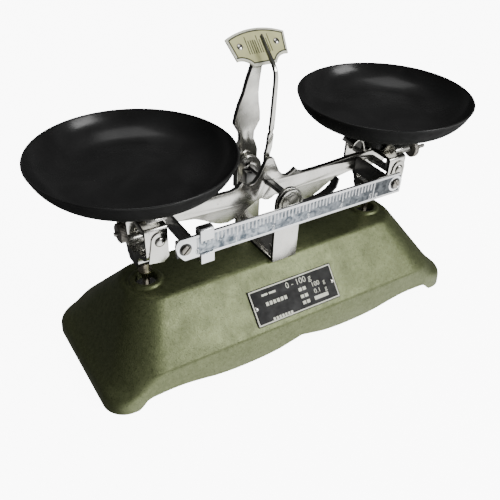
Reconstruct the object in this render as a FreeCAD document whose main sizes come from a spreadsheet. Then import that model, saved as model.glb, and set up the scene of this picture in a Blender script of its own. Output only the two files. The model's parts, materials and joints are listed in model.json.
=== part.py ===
import FreeCAD, Part
import math
import os
from FreeCAD import Placement, Rotation, Vector

# A two-pan rack balance (Roberval balance) with one graduated rider bar.
# Frame: +X to the right-hand pan, -Y to the front (graduated bar), +Z up.
# The origin is the middle of the base on the surface it stands on. Millimetres.

doc = FreeCAD.newDocument("RackBalance")
sheet = doc.addObject("Spreadsheet::Sheet", "Sizes")

SIZES = [
    ("arm_length", 77.0, "centre knife edge to each end knife edge"),
    ("knife_height", 83.8, "the three knife edges lie at this height"),
    ("knife_side", 3.4, "knife bar across"),
    ("knife_depth", 4.2, "knife bar from its edge to its back"),
    ("knife_reach", 17.6, "half length of a knife bar"),
    ("stay_height", 18.0, "pivots of the lower parallel link"),
    ("base_half_length", 121.0, "base at its feet"),
    ("base_half_width", 45.7, "base at its feet"),
    ("base_height", 46.8, "flat top of the casting"),
    ("base_wall", 3.4, "casting wall"),
    ("boss_height", 1.5, "raised ring round each stem hole"),
    ("boss_radius", 9.6, "raised ring round each stem hole"),
    ("stem_hole_radius", 6.2, "hole that a stem hangs through"),
    ("column_half_width", 8.2, "uprights of the centre bracket"),
    ("column_face", 21.3, "outer faces of the uprights, from the beam"),
    ("column_plate", 2.0, "sheet of the centre bracket"),
    ("column_top", 92.5, "top of the uprights"),
    ("cover_plate", 1.0, "covers over the bearings"),
    ("beam_plate", 3.0, "thickness of the beam"),
    ("arm_strip", 1.5, "thickness of the brackets that carry the bar"),
    ("arm_inner", 61.9, "inner face of each bracket, from the centre"),
    ("bar_face", 31.0, "front face of the graduated bar"),
    ("bar_plate", 1.5, "thickness of the graduated bar"),
    ("bar_low", 75.5, "lower edge of the graduated bar"),
    ("bar_top", 88.2, "upper edge of the graduated bar"),
    ("bar_half_length", 72.0, "graduated bar"),
    ("bar_screw", 67.0, "screws of the graduated bar, from the centre"),
    ("rider_zero", -59.2, "left edge of the rider at zero"),
    ("rider_width", 7.6, "rider along the bar"),
    ("stirrup_face", 20.3, "outer faces of a stirrup, from the beam"),
    ("stirrup_plate", 1.8, "sheet of a stirrup"),
    ("stirrup_width", 12.0, "stirrup along the beam"),
    ("stirrup_top", 91.5, "top of a stirrup"),
    ("stem_radius", 2.15, "rod that hangs into the base"),
    ("stem_top", 60.0, "where the stem meets the stirrup"),
    ("carrier_plate", 1.2, "cross that the pan ring sits in"),
    ("pan_radius", 50.0, "rim of a pan"),
    ("pan_rim", 121.5, "height of the rim"),
    ("pan_floor", 108.8, "inner floor of a pan"),
    ("pan_sheet", 0.8, "pan sheet"),
    ("pan_ring_radius", 11.4, "ring under a pan"),
    ("beam_end", 85.0, "ends of the beam plate"),
    ("stud_radius", 1.3, "threaded ends of the beam"),
    ("stud_height", 80.4, "middle line of the threaded ends"),
    ("left_stud_end", 91.2, "tip of the short stud, from the centre"),
    ("right_stud_end", 119.5, "tip of the long stud, from the centre"),
    ("nut_radius", 5.0, "balance nuts"),
    ("nut_width", 4.0, "balance nuts"),
    ("left_nut_face", 85.6, "inner face of the left nut, from the centre"),
    ("right_nut_face", 107.5, "inner face of the right nut, from the centre"),
    ("carrier_half_width", 5.2, "strips of the cross"),
    ("name_half_width", 29.0, "label plate on the front slope"),
    ("plate_sheet", 0.8, "label plate"),
    ("dial_sheet", 1.0, "pointer dial"),
    ("dial_lean", 42.8, "slope of the dial from level, degrees"),
    ("dial_front_y", 7.4, "lower edge of the dial"),
    ("dial_front_z", 146.9, "lower edge of the dial"),
    ("post_plate", 3.0, "thickness of the dial post"),
    ("pointer_plate", 2.0, "thickness of the pointer"),
]
for row, (alias, value, note) in enumerate(SIZES, start=1):
    sheet.set("A%d" % row, alias)
    sheet.set("B%d" % row, str(value))
    sheet.setAlias("B%d" % row, alias)
    sheet.set("C%d" % row, note)
doc.recompute()


def size(alias):
    """A driving size, read back from the sheet."""
    return float(sheet.get(alias))


ARM = size("arm_length")
KNIFE_Z = size("knife_height")
STAY_Z = size("stay_height")
TOP_Z = size("base_height")
PARTS = []


# ---------------------------------------------------------------- helpers

def keep(item, name):
    """Register an object as one exported sub-part."""
    item.Label = name
    PARTS.append(item)
    return item


def bind(item, **expressions):
    """Tie properties of an object to the sheet; __ in a name stands for a dot."""
    for name, expression in expressions.items():
        item.setExpression(name.replace("__", "."), expression)
    return item


def draw(sketch, path):
    """Draw a closed outline: a point is a straight edge to it, a pair of points an arc."""
    here = path[-1][1] if isinstance(path[-1][0], tuple) else path[-1]
    for step in path:
        start = Vector(here[0], here[1], 0)
        if isinstance(step[0], tuple):
            middle, end = step
            curve = Part.Arc(start, Vector(middle[0], middle[1], 0), Vector(end[0], end[1], 0))
            sketch.addGeometry(curve, False)
            here = end
        else:
            if math.dist(here, step) > 1e-6:
                sketch.addGeometry(Part.LineSegment(start, Vector(step[0], step[1], 0)), False)
            here = step


def body_sketch(body, name, plane, path, circles=(), windows=()):
    """A sketch on one of a body's own origin planes, with round and shaped holes if asked."""
    sketch = body.newObject("Sketcher::SketchObject", name)
    support = [f for f in body.Origin.OriginFeatures if f.Role == plane][0]
    sketch.AttachmentSupport = (support, [""])
    sketch.MapMode = "FlatFace"
    for outline in (path, *windows):
        draw(sketch, outline)
    for x, y, radius in circles:
        sketch.addGeometry(Part.Circle(Vector(x, y, 0), Vector(0, 0, 1), radius), False)
    return sketch


def pad(body, sketch, length):
    """Pad a sketch by an expression."""
    feature = body.newObject("PartDesign::Pad", sketch.Name + "_pad")
    feature.Profile = sketch
    bind(feature, Length=length)
    sketch.Visibility = False
    return feature


def plate(name, plane, path, length, circles=(), windows=(), **place):
    """A flat piece: one outline, padded along the plane's normal, then placed."""
    body = doc.addObject("PartDesign::Body", name + "_body")
    pad(body, body_sketch(body, name + "_outline", plane, path, circles, windows), length)
    bind(body, **place)
    return keep(body, name)


def turned(name, profile, **place):
    """A turned piece: a (radius, height) profile revolved round its own Z axis."""
    body = doc.addObject("PartDesign::Body", name + "_body")
    sketch = body_sketch(body, name + "_profile", "XZ_Plane", profile)
    spin = body.newObject("PartDesign::Revolution", name + "_spin")
    spin.Profile = sketch
    spin.ReferenceAxis = (sketch, ["V_Axis"])
    spin.Angle = 360.0
    bind(body, **place)
    return keep(body, name)


def solid(name, shape):
    """A piece whose shape is built directly."""
    item = doc.addObject("Part::Feature", name + "_shape")
    item.Shape = shape
    return keep(item, name)


def outline_face(path):
    """A planar XY face from an outline written the way draw() takes it."""
    here = path[-1][1] if isinstance(path[-1][0], tuple) else path[-1]
    edges = []
    for step in path:
        start = Vector(here[0], here[1], 0)
        if isinstance(step[0], tuple):
            middle, end = step
            arc = Part.Arc(start, Vector(middle[0], middle[1], 0), Vector(end[0], end[1], 0))
            edges.append(arc.toShape())
            here = end
        else:
            if math.dist(here, step) > 1e-6:
                edges.append(Part.makeLine(start, Vector(step[0], step[1], 0)))
            here = step
    return Part.Face(Part.Wire(edges))


def front_prism(path, near, far):
    """Extrude an (x, z) outline from y = near to y = far."""
    face = outline_face(path)
    face.rotate(Vector(0, 0, 0), Vector(1, 0, 0), 90)
    face.translate(Vector(0, near, 0))
    return face.extrude(Vector(0, far - near, 0))


def side_prism(path, near, far):
    """Extrude a (y, z) outline from x = near to x = far."""
    face = outline_face(path)
    face.rotate(Vector(0, 0, 0), Vector(1, 0, 0), 90)
    face.rotate(Vector(0, 0, 0), Vector(0, 0, 1), 90)
    face.translate(Vector(near, 0, 0))
    return face.extrude(Vector(far - near, 0, 0))


def ribbon(line, thickness):
    """The outline of a bent strip seen on edge, from the points along its middle."""
    left, right = [], []
    for i, (a, b) in enumerate(line):
        before = line[max(i - 1, 0)]
        after = line[min(i + 1, len(line) - 1)]
        turn_in = math.atan2(b - before[1], a - before[0]) if i else None
        turn_out = math.atan2(after[1] - b, after[0] - a) if i < len(line) - 1 else None
        if turn_in is None:
            turn_in = turn_out
        if turn_out is None:
            turn_out = turn_in
        heading = (turn_in + turn_out) / 2
        reach = thickness / 2 / math.cos((turn_out - turn_in) / 2)
        left.append((a - reach * math.sin(heading), b + reach * math.cos(heading)))
        right.append((a + reach * math.sin(heading), b - reach * math.cos(heading)))
    return left + right[::-1]


def mirror_outline(half):
    """Close a left-right symmetrical outline from its x >= 0 half, listed once round."""
    return half + [(-x, y) for x, y in reversed(half) if x > 0]


def cylinder(radius, start, end):
    """A solid cylinder between two points."""
    axis = Vector(*end) - Vector(*start)
    return Part.makeCylinder(radius, axis.Length, Vector(*start), axis)


def slotted_head(radius, height, slot, point, direction):
    """A cheese head with a slot, standing on a face at point along direction."""
    head = Part.makeCylinder(radius, height, Vector(0, 0, 0), Vector(0, 0, 1))
    corner = Vector(-radius - 0.5, -slot / 2, height * 0.55)
    head = head.cut(Part.makeBox(2 * radius + 1, slot, height, corner))
    head.Placement = Placement(Vector(*point), Rotation(Vector(0, 0, 1), Vector(*direction)))
    return head


def dome(radius, height, point, direction):
    """A low domed rivet head, standing on a face at point along direction."""
    ball_radius = (radius ** 2 + height ** 2) / (2 * height)
    ball = Part.makeSphere(ball_radius, Vector(0, 0, height - ball_radius))
    wide = 4 * ball_radius
    head = ball.common(Part.makeBox(wide, wide, height, Vector(-wide / 2, -wide / 2, 0)))
    head.Placement = Placement(Vector(*point), Rotation(Vector(0, 0, 1), Vector(*direction)))
    return head


# ---------------------------------------------------------------- base casting

def rounded_rectangle(half_x, half_y, radius, height):
    """A closed wire: a level rectangle with round corners."""
    k = radius * (1 - math.sqrt(0.5))
    corners = [
        (half_x, half_y - radius), ((half_x - k, half_y - k), (half_x - radius, half_y)),
        (-half_x + radius, half_y), ((-half_x + k, half_y - k), (-half_x, half_y - radius)),
        (-half_x, -half_y + radius), ((-half_x + k, -half_y + k), (-half_x + radius, -half_y)),
        (half_x - radius, -half_y), ((half_x - k, -half_y + k), (half_x, -half_y + radius)),
    ]
    wire = outline_face(corners).OuterWire
    wire.translate(Vector(0, 0, height))
    return wire


FOOT_X = size("base_half_length")
FOOT_Y = size("base_half_width")
SHOULDER_Y = 44.3
SHOULDER_Z = 18.8
RIDGE_Y = 17.8
# height, half length, half width, corner radius: feet, flare, shoulder, ridge, top
BASE_SECTIONS = [
    (0.0, FOOT_X, FOOT_Y, 13.0),
    (8.0, FOOT_X - 0.8, FOOT_Y - 0.3, 14.5),
    (13.0, FOOT_X - 6.0, FOOT_Y - 0.8, 17.5),
    (SHOULDER_Z, FOOT_X - 11.0, SHOULDER_Y, 21.0),
    (TOP_Z - 1.4, 91.6, RIDGE_Y + 1.6, 15.8),
    (TOP_Z, 89.8, RIDGE_Y, 15.0),
]
CAVITY_SECTIONS = [
    (-1.0, FOOT_X - 3.2, FOOT_Y - 3.2, 10.0),
    (8.0, FOOT_X - 4.2, FOOT_Y - 3.5, 11.5),
    (13.0, FOOT_X - 9.6, FOOT_Y - 4.0, 14.0),
    (SHOULDER_Z - 1.2, FOOT_X - 15.0, SHOULDER_Y - 3.8, 17.0),
    (TOP_Z - size("base_wall"), 87.4, RIDGE_Y - 1.2, 12.0),
]


def loft(sections):
    """A faceted loft through level rounded rectangles."""
    wires = [rounded_rectangle(half_x, half_y, r, height) for height, half_x, half_y, r in sections]
    return Part.makeLoft(wires, True, True)


def skirt_wave():
    """The cutter under the long sides: two shallow arches each side of a pointed middle."""
    foot_inner, arch_top, dip_x, dip_z, point_z = 104.0, 6.2, 37.0, 1.3, 6.4
    half = [
        ((9.0, 4.2), (16.0, 2.6)), ((dip_x, dip_z), (58.0, 2.6)),
        ((80.0, arch_top), (92.0, arch_top)), ((100.0, arch_top - 1.2), (foot_inner, 0.0)),
    ]
    path = half + [(foot_inner, -5.0), (-foot_inner, -5.0), (-foot_inner, 0.0)]
    path += [((-100.0, arch_top - 1.2), (-92.0, arch_top)), ((-80.0, arch_top), (-58.0, 2.6)),
             ((-dip_x, dip_z), (-16.0, 2.6)), ((-9.0, 4.2), (0.0, point_z))]
    return front_prism(path, -FOOT_Y - 5, FOOT_Y + 5)


def base_casting():
    shell = loft(BASE_SECTIONS).cut(loft(CAVITY_SECTIONS))
    shell = shell.cut(skirt_wave())
    boss, boss_z = size("boss_radius"), TOP_Z + size("boss_height")
    for x in (-ARM, ARM):
        ring = Part.makeCone(boss, boss - 1.2, boss_z - TOP_Z + 0.5, Vector(x, 0, TOP_Z - 0.5))
        shell = shell.fuse(ring)
    for x in (-ARM, ARM):
        shell = shell.cut(cylinder(size("stem_hole_radius"), (x, 0, 30), (x, 0, 60)))
    return shell.removeSplitter()


solid("base_casting", base_casting())

# ---------------------------------------------------------------- centre bracket

COLUMN_Y = size("column_face")
COLUMN_T = size("column_plate")
COLUMN_W = size("column_half_width")
COLUMN_TOP = size("column_top")


def column_bracket():
    """A U of sheet: a web on the base and two round-topped uprights."""
    y_in = COLUMN_Y - COLUMN_T
    web_top = TOP_Z + COLUMN_T
    u_shape = [
        (-COLUMN_Y, TOP_Z), (COLUMN_Y, TOP_Z), (COLUMN_Y, COLUMN_TOP), (y_in, COLUMN_TOP),
        (y_in, web_top), (-y_in, web_top), (-y_in, COLUMN_TOP), (-COLUMN_Y, COLUMN_TOP),
    ]
    bent = side_prism(u_shape, -COLUMN_W, COLUMN_W)
    arch = [(-COLUMN_W, TOP_Z), (COLUMN_W, TOP_Z), (COLUMN_W, COLUMN_TOP - COLUMN_W),
            ((0.0, COLUMN_TOP), (-COLUMN_W, COLUMN_TOP - COLUMN_W))]
    bracket = bent.common(front_prism(arch, -COLUMN_Y - 1, COLUMN_Y + 1))
    for side in (-1, 1):
        window = cylinder(3.4, (0, side * (y_in - 1), KNIFE_Z), (0, side * (COLUMN_Y + 1), KNIFE_Z))
        bracket = bracket.cut(window)
    return bracket


solid("column_bracket", column_bracket())

WEB_SCREW_Y = 11.0
screws = []
for y in (-WEB_SCREW_Y, WEB_SCREW_Y):
    screws.append(slotted_head(3.0, 1.8, 0.8, (0, y, TOP_Z + COLUMN_T), (0, 0, 1)))
solid("column_screws", Part.makeCompound(screws))

COVER_T = size("cover_plate")
COVER_RAISED = 0.6
COVER_W = COLUMN_W - 0.7
COVER_SPRING = COLUMN_TOP - COLUMN_W


def arched(half_width, low):
    """A round-headed outline that shares its centre with the uprights' tops."""
    return [(-half_width, low), (half_width, low), (half_width, COVER_SPRING),
            ((0.0, COVER_SPRING + half_width), (-half_width, COVER_SPRING))]


def bearing_block(side):
    """A block on the inside of an upright, with a vee that the centre knife edge stands in."""
    face = COLUMN_Y - COLUMN_T
    low, top, half = KNIFE_Z - 7.0, KNIFE_Z + 1.0, 4.0
    section = [(-half, low), (half, low), (half, top), (half - 0.6, top), (0.0, KNIFE_Z - 0.3),
               (-half + 0.6, top), (-half, top)]
    return front_prism(section, side * face, side * (face - 3.6))


def bearing_cover(side):
    """A thick round-headed cap outside an upright, with a groove round its middle panel."""
    low, panel, groove = KNIFE_Z - 12.0, 5.2, 0.8
    face = COLUMN_Y + COVER_T + COVER_RAISED
    cap = front_prism(arched(COVER_W, low), side * COLUMN_Y, side * face)
    ring = front_prism(arched(panel + groove, low + 2.2), side * (face - 0.7), side * (face + 1))
    island = front_prism(arched(panel, low + 3.0), side * (face - 1), side * (face + 1))
    return cap.cut(ring.cut(island))


for side, name in ((-1, "front"), (1, "rear")):
    solid(name + "_bearing", bearing_block(side))
    solid(name + "_bearing_cover", bearing_cover(side))

# ---------------------------------------------------------------- dial and its post

LEAN = math.radians(size("dial_lean"))
DIAL_Y = size("dial_front_y")
DIAL_Z = size("dial_front_z")
DIAL_T = size("dial_sheet")
POST_T = size("post_plate")
POST_FRONT = COLUMN_Y + COVER_T + COVER_RAISED
POST_LOW = KNIFE_Z - 11.0


def on_dial(x, s, lift=0.0):
    """A point s up the dial's slope and lift in front of its face."""
    y = DIAL_Y + s * math.cos(LEAN) - lift * math.sin(LEAN)
    z = DIAL_Z + s * math.sin(LEAN) + lift * math.cos(LEAN)
    return (x, y, z)


def dial_plate():
    """A shield: a bowed top, straight sides and scooped lower corners."""
    path = [(6.8, 0.0), ((9.2, 2.6), (14.9, 3.6)), (17.1, 15.4), ((0.0, 19.1), (-17.1, 15.4)),
            (-14.9, 3.6), ((-9.2, 2.6), (-6.8, 0.0))]
    shape = outline_face(path).extrude(Vector(0, 0, -DIAL_T))
    shape.rotate(Vector(0, 0, 0), Vector(1, 0, 0), math.degrees(LEAN))
    shape.translate(Vector(0, DIAL_Y, DIAL_Z))
    return shape


def dial_post():
    """A strip up the back of the bracket that leans forward into a cross head behind the dial."""
    y0 = POST_FRONT + POST_T / 2
    back = -DIAL_T - POST_T / 2
    head_low, head_high = on_dial(0, 6.5, back)[1:], on_dial(0, 14.0, back)[1:]
    line = [(y0, POST_LOW), (y0, 112.0), (y0 - 1.2, 122.0), (19.7, 135.0), (16.9, 143.0),
            head_low, head_high]
    strip = side_prism(ribbon(line, POST_T), -20, 20)
    half = [(0.0, POST_LOW - 5), (7.2, POST_LOW - 5), (7.2, 94.0), (6.0, 97.5), (4.4, 101.0),
            (4.6, 105.0), (8.2, 111.0), (7.6, 116.0), (4.6, 128.0), (3.0, 143.0), (3.0, 150.0),
            (13.0, 151.6), (13.0, 158.5), (0.0, 158.5)]
    return strip.common(front_prism(mirror_outline(half), -5, 40))


solid("dial_post", dial_post())
solid("dial_post_screws", Part.makeCompound(
    [slotted_head(2.4, 1.5, 0.7, (0, POST_FRONT + POST_T, KNIFE_Z + rise), (0, 1, 0))
     for rise in (-7.0, 4.0)]))
solid("dial_plate", dial_plate())
dial_normal = (0, -math.sin(LEAN), math.cos(LEAN))
solid("dial_rivets", Part.makeCompound(
    [dome(1.7, 0.8, on_dial(x, 10.6), dial_normal) for x in (-10.6, 10.6)]))

# ---------------------------------------------------------------- label plate

SLOPE_RUN = SHOULDER_Y - RIDGE_Y - 1.6
SLOPE_RISE = TOP_Z - 1.4 - SHOULDER_Z
SLOPE = math.atan2(SLOPE_RISE, SLOPE_RUN)


def on_slope(x, s, lift=0.0):
    """A point on the front slope, s up from the shoulder and lift off it."""
    y = -SHOULDER_Y + s * math.cos(SLOPE) - lift * math.sin(SLOPE)
    z = SHOULDER_Z + s * math.sin(SLOPE) + lift * math.cos(SLOPE)
    return (x, y, z)


NAME_LOW, NAME_HIGH = 3.6, 25.0
NAME_W = size("name_half_width")
label = outline_face([(-NAME_W, NAME_LOW), (NAME_W, NAME_LOW),
                      (NAME_W, NAME_HIGH), (-NAME_W, NAME_HIGH)])
label = label.extrude(Vector(0, 0, size("plate_sheet")))
label.rotate(Vector(0, 0, 0), Vector(1, 0, 0), math.degrees(SLOPE))
label.translate(Vector(0, -SHOULDER_Y, SHOULDER_Z))
solid("name_plate", label)
slope_normal = (0, -math.sin(SLOPE), math.cos(SLOPE))
name_middle = (NAME_LOW + NAME_HIGH) / 2
name_rivet_x = NAME_W - 2.4
solid("name_plate_rivets", Part.makeCompound(
    [dome(1.3, 0.6, on_slope(x, name_middle, size("plate_sheet")), slope_normal)
     for x in (-name_rivet_x, name_rivet_x)]))

# ---------------------------------------------------------------- beam

BEAM_END = size("beam_end")
beam_half = [
    (0.0, 100.6), (2.4, 100.0), (3.4, 97.6), (6.4, 91.4), (9.6, 88.0), (12.4, 87.2), (15.2, 88.6),
    (17.7, 90.4), (20.2, 87.8), (23.4, 86.6), (40.0, 86.9), (56.0, 87.8), (62.0, 88.0), (83.0, 87.8),
    (BEAM_END, 86.4), (BEAM_END, 79.4), (83.6, 78.4), (64.0, 78.2), (57.6, 78.2), (46.6, 76.5),
    (40.6, 73.6), (36.2, 70.8), (31.4, 68.8), (26.4, 68.0), (21.4, 69.2), (14.0, 73.2), (8.0, 76.6),
    (4.6, 77.2), (2.4, 75.8), (0.0, 75.2),
]


def knife_outline(x, away):
    """The section of a knife: a vee edge on the turning axis and a square back, away = +1 above it."""
    half, depth = size("knife_side") / 2, size("knife_depth")
    return [(x, KNIFE_Z), (x + half, KNIFE_Z + away * half * 1.3), (x + half, KNIFE_Z + away * depth),
            (x - half, KNIFE_Z + away * depth), (x - half, KNIFE_Z + away * half * 1.3)]


knives = {"centre_knife": knife_outline(0.0, 1), "left_knife": knife_outline(-ARM, -1),
          "right_knife": knife_outline(ARM, -1)}
plate("beam_plate", "XZ_Plane", mirror_outline(beam_half), "Sizes.beam_plate",
      windows=list(knives.values()), Placement__Base__y="Sizes.beam_plate / 2")
for name, section in knives.items():
    plate(name, "XZ_Plane", section, "2 * Sizes.knife_reach", Placement__Base__y="Sizes.knife_reach")


POINTER_T = size("pointer_plate")


def pointer():
    """A slim strip that stands on the beam, leans forward a little and sweeps back over the dial."""
    foot_y = size("beam_plate") / 2 + POINTER_T / 2
    line = [(foot_y, 92.0), (foot_y, 101.6), (1.0, 106.0), (-0.9, 122.0), (-1.8, 140.0),
            (-1.8, 143.6), (-1.1, 146.0), (0.5, 148.2), (13.2, 158.8)]
    strip = side_prism(ribbon(line, POINTER_T), -5, 5)
    half = [(0.0, 90.0), (1.6, 90.0), (1.6, 113.6), (0.9, 114.4), (0.9, 115.6), (1.3, 116.4),
            (0.9, 146.0), (0.35, 160.0), (0.0, 160.0)]
    return strip.common(front_prism(mirror_outline(half), -10, 30))


solid("pointer", pointer())
solid("pointer_rivets", Part.makeCompound(
    [dome(1.1, 0.6, (0, size("beam_plate") / 2 + POINTER_T, z), (0, 1, 0)) for z in (93.6, 97.2)]))

BAR_BACK = -size("bar_face") + size("bar_plate")
bar_low, bar_top, bar_end = size("bar_low"), size("bar_top"), size("bar_half_length")
plate("scale_bar", "XZ_Plane",
      [(-bar_end + 4.5, bar_low), (bar_end, bar_low), (bar_end, bar_top - 5.0),
       (bar_end - 2.4, bar_top), (-bar_end + 2.5, bar_top),
       ((-bar_end + 0.4, bar_top - 2.0), (-bar_end, bar_top - 4.6)),
       ((-bar_end + 1.2, bar_low + 4.4), (-bar_end + 4.5, bar_low))],
      "Sizes.bar_plate", Placement__Base__y="Sizes.bar_plate - Sizes.bar_face")

ARM_T = size("arm_strip")
ARM_IN = size("arm_inner")
for side, name in ((-1, "left"), (1, "right")):
    # an angle: a strip forward from the beam and a tab outward behind the bar
    path = [(ARM_IN, -size("beam_plate") / 2), (ARM_IN, BAR_BACK), (ARM_IN + 9.2, BAR_BACK),
            (ARM_IN + 9.2, BAR_BACK + ARM_T), (ARM_IN + ARM_T, BAR_BACK + ARM_T),
            (ARM_IN + ARM_T, -size("beam_plate") / 2)]
    angle = outline_face([(side * x, y) for x, y in path]).extrude(Vector(0, 0, 10.0))
    angle.translate(Vector(0, 0, 77.0))
    solid(name + "_bar_bracket", angle)
solid("bar_screws", Part.makeCompound(
    [slotted_head(2.4, 1.6, 0.8, (x, -size("bar_face"), KNIFE_Z - 1.6), (0, -1, 0))
     for x in (-size("bar_screw"), size("bar_screw"))]))

strap_line = [(24.0, 67.4), (27.0, 65.6), (32.0, 65.0), (39.0, 65.6), (44.6, 67.6), (48.2, 70.8),
              (49.4, 76.2)]
strap_face = outline_face(ribbon(strap_line, 1.4))
strap_face.rotate(Vector(0, 0, 0), Vector(1, 0, 0), 90)
strap_face.translate(Vector(0, 3.0, 0))
strap = strap_face.extrude(Vector(0, -6.0, 0))
beam_solid = front_prism(mirror_outline(beam_half), 1.5, -1.5)
solid("counterpoise_strap", strap.cut(beam_solid))

STUD_Z = size("stud_height")
nut_r, nut_w, nut_bore = size("nut_radius"), size("nut_width"), size("stud_radius") + 0.05
nut_profile = [(nut_bore, 0.0), (nut_r - 0.5, 0.0), (nut_r, 0.5), (nut_r, nut_w - 0.5),
               (nut_r - 0.5, nut_w), (nut_bore, nut_w)]
for side, name in ((-1, "left"), (1, "right")):
    outward = Rotation(Vector(0, 0, 1), Vector(side, 0, 0))
    stud = doc.addObject("Part::Cylinder", name + "_stud_rod")
    bind(stud, Radius="Sizes.stud_radius", Height="Sizes.%s_stud_end - Sizes.beam_end" % name)
    stud.Placement = Placement(Vector(side * BEAM_END, 0, STUD_Z), outward)
    keep(stud, name + "_stud")
    nut = turned(name + "_balance_nut", nut_profile)
    nut.Placement = Placement(Vector(side * size(name + "_nut_face"), 0, STUD_Z), outward)

# ---------------------------------------------------------------- rider

RIDER_X = size("rider_zero")
RIDER_W = size("rider_width")


def rider():
    """A clip round the bar: a block behind, with a lip over the top and under the bottom edge."""
    gap, lip, block = 0.25, 0.9, 2.8
    front, back = -size("bar_face") - gap, BAR_BACK + gap
    low, top = bar_low - gap, bar_top + gap
    crown, toe = bar_top + 3.2, bar_low - 4.4
    path = [
        (back, top), (front, top), (front, top - 4.0), (front - lip, top - 4.0),
        (front - lip, crown - 0.8), (front, crown), (back + block - 1.5, crown),
        (back + block, crown - 1.5), (back + block, toe),
        (front - lip, toe), (front - lip, low + 1.8), (front, low + 1.8), (front, low), (back, low),
    ]
    return side_prism(path, RIDER_X, RIDER_X + RIDER_W)


solid("rider", rider())

# ---------------------------------------------------------------- stirrups, stems and pans

ST_Y = size("stirrup_face")
ST_T = size("stirrup_plate")
ST_W = size("stirrup_width") / 2
ST_TOP = size("stirrup_top")
CHEEK_COVER = 0.9
STEM_TOP = size("stem_top")


def stirrup():
    """A closed hoop of strip: a level top, two upright cheeks and a waisted bottom that holds the stem."""
    y_out = ST_Y
    outer = [
        (-y_out + 2.0, ST_TOP), (y_out - 2.0, ST_TOP), ((y_out - 0.6, ST_TOP - 0.6), (y_out, ST_TOP - 2.0)),
        (y_out, 76.5), ((y_out - 3.0, 72.0), (y_out - 7.4, 70.4)), ((8.8, 68.2), (7.4, 63.8)),
        (5.0, STEM_TOP), (-5.0, STEM_TOP), (-7.4, 63.8), ((-8.8, 68.2), (-y_out + 7.4, 70.4)),
        ((-y_out + 3.0, 72.0), (-y_out, 76.5)), (-y_out, ST_TOP - 2.0),
        ((-y_out + 0.6, ST_TOP - 0.6), (-y_out + 2.0, ST_TOP)),
    ]
    y_in = ST_Y - ST_T
    inner = [
        (-y_in, ST_TOP - ST_T), (-y_in, 77.0), ((-y_in + 2.4, 74.0), (-y_in + 7.0, 72.9)),
        ((-6.6, 71.6), (-5.0, 68.0)), (5.0, 68.0), ((6.6, 71.6), (y_in - 7.0, 72.9)),
        ((y_in - 2.4, 74.0), (y_in, 77.0)), (y_in, ST_TOP - ST_T),
    ]
    return side_prism(outer, -ST_W, ST_W).cut(side_prism(inner, -ST_W - 1, ST_W + 1))


def knife_seats():
    """Two blocks on the cheeks, each with a downward vee that rests on the end knife edge."""
    y_in = ST_Y - ST_T
    blocks = []
    for side in (-1, 1):
        vee = [(-3.6, KNIFE_Z - 1.0), (-3.0, KNIFE_Z - 1.0), (0.0, KNIFE_Z + 0.3), (3.0, KNIFE_Z - 1.0),
               (3.6, KNIFE_Z - 1.0), (3.6, KNIFE_Z + 4.4), (-3.6, KNIFE_Z + 4.4)]
        blocks.append(front_prism(vee, side * y_in, side * (y_in - 4.0)))
    return Part.makeCompound(blocks)


def cheek_covers():
    """A plate on the outside of each cheek, over the end of the knife, with one slanted edge."""
    right, low, spring = 5.7, 71.2, KNIFE_Z + 0.4
    path = [(-5.4, low + 1.2), (2.6, low), (right, low + 2.8), (right, spring),
            ((1.25, spring + 4.5), (-3.2, spring))]
    return Part.makeCompound([front_prism(path, side * ST_Y, side * (ST_Y + CHEEK_COVER))
                              for side in (-1, 1)])


def cover_rivets():
    return Part.makeCompound([dome(2.8, 1.5, (1.2, side * (ST_Y + CHEEK_COVER), KNIFE_Z), (0, side, 0))
                              for side in (-1, 1)])


def stem():
    """A collar and flange under the stirrup, a rod, and a fork for the stay."""
    rod, fork_top = size("stem_radius"), STAY_Z + 8.0
    profile = [(0, STEM_TOP), (3.2, STEM_TOP), (3.0, 54.4), (3.6, 54.0), (3.6, 52.6), (rod, 52.2),
               (rod, fork_top), (0, fork_top)]
    face = outline_face(profile)
    face.rotate(Vector(0, 0, 0), Vector(1, 0, 0), 90)
    rod_solid = face.revolve(Vector(0, 0, 0), Vector(0, 0, 1), 360)
    fork = Part.makeBox(7.0, 8.0, 13.0, Vector(-3.5, -4.0, STAY_Z - 4.0))
    gap = Part.makeBox(9.0, 3.0, 10.0, Vector(-4.5, -1.5, STAY_Z - 5.0))
    return rod_solid.fuse(fork.cut(gap)).removeSplitter()


def pan_carrier():
    """A cross of strip: every arm curls up outside the pan's ring, the two along the beam dip first."""
    t, half_width = size("carrier_plate"), size("carrier_half_width")
    mid = ST_TOP + t / 2
    curl = [(14.9, mid + 5.3), (16.7, mid + 6.9), (18.9, mid + 7.1), (21.1, mid + 5.8), (22.3, mid + 4.0)]
    along_beam = [(0.0, mid), (8.2, mid), (9.6, mid - 0.9), (10.8, mid - 1.3), (12.0, mid - 0.7),
                  (13.4, mid + 2.2)] + curl
    across = [(0.0, mid), (11.0, mid), (12.4, mid + 0.8), (13.6, mid + 2.8)] + curl
    arms = []
    for half, prism in ((along_beam, front_prism), (across, side_prism)):
        line = [(-a, b) for a, b in reversed(half)] + half[1:]
        arms.append(prism(ribbon(line, t), -half_width, half_width))
    return arms[0].fuse(arms[1]).removeSplitter()


def pan_profile():
    """Half the section of a shallow dish of sheet with a flat floor and a curved wall."""
    t = size("pan_sheet")
    floor, rim, radius = size("pan_floor"), size("pan_rim"), size("pan_radius")
    inner = [(0.0, floor), (31.0, floor), ((42.0, floor + 3.6), (radius - 1.0, rim))]
    outer = [((43.2, floor + 2.6), (31.2, floor - t)), (0.0, floor - t)]
    return inner + [(radius, rim)] + outer


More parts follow.
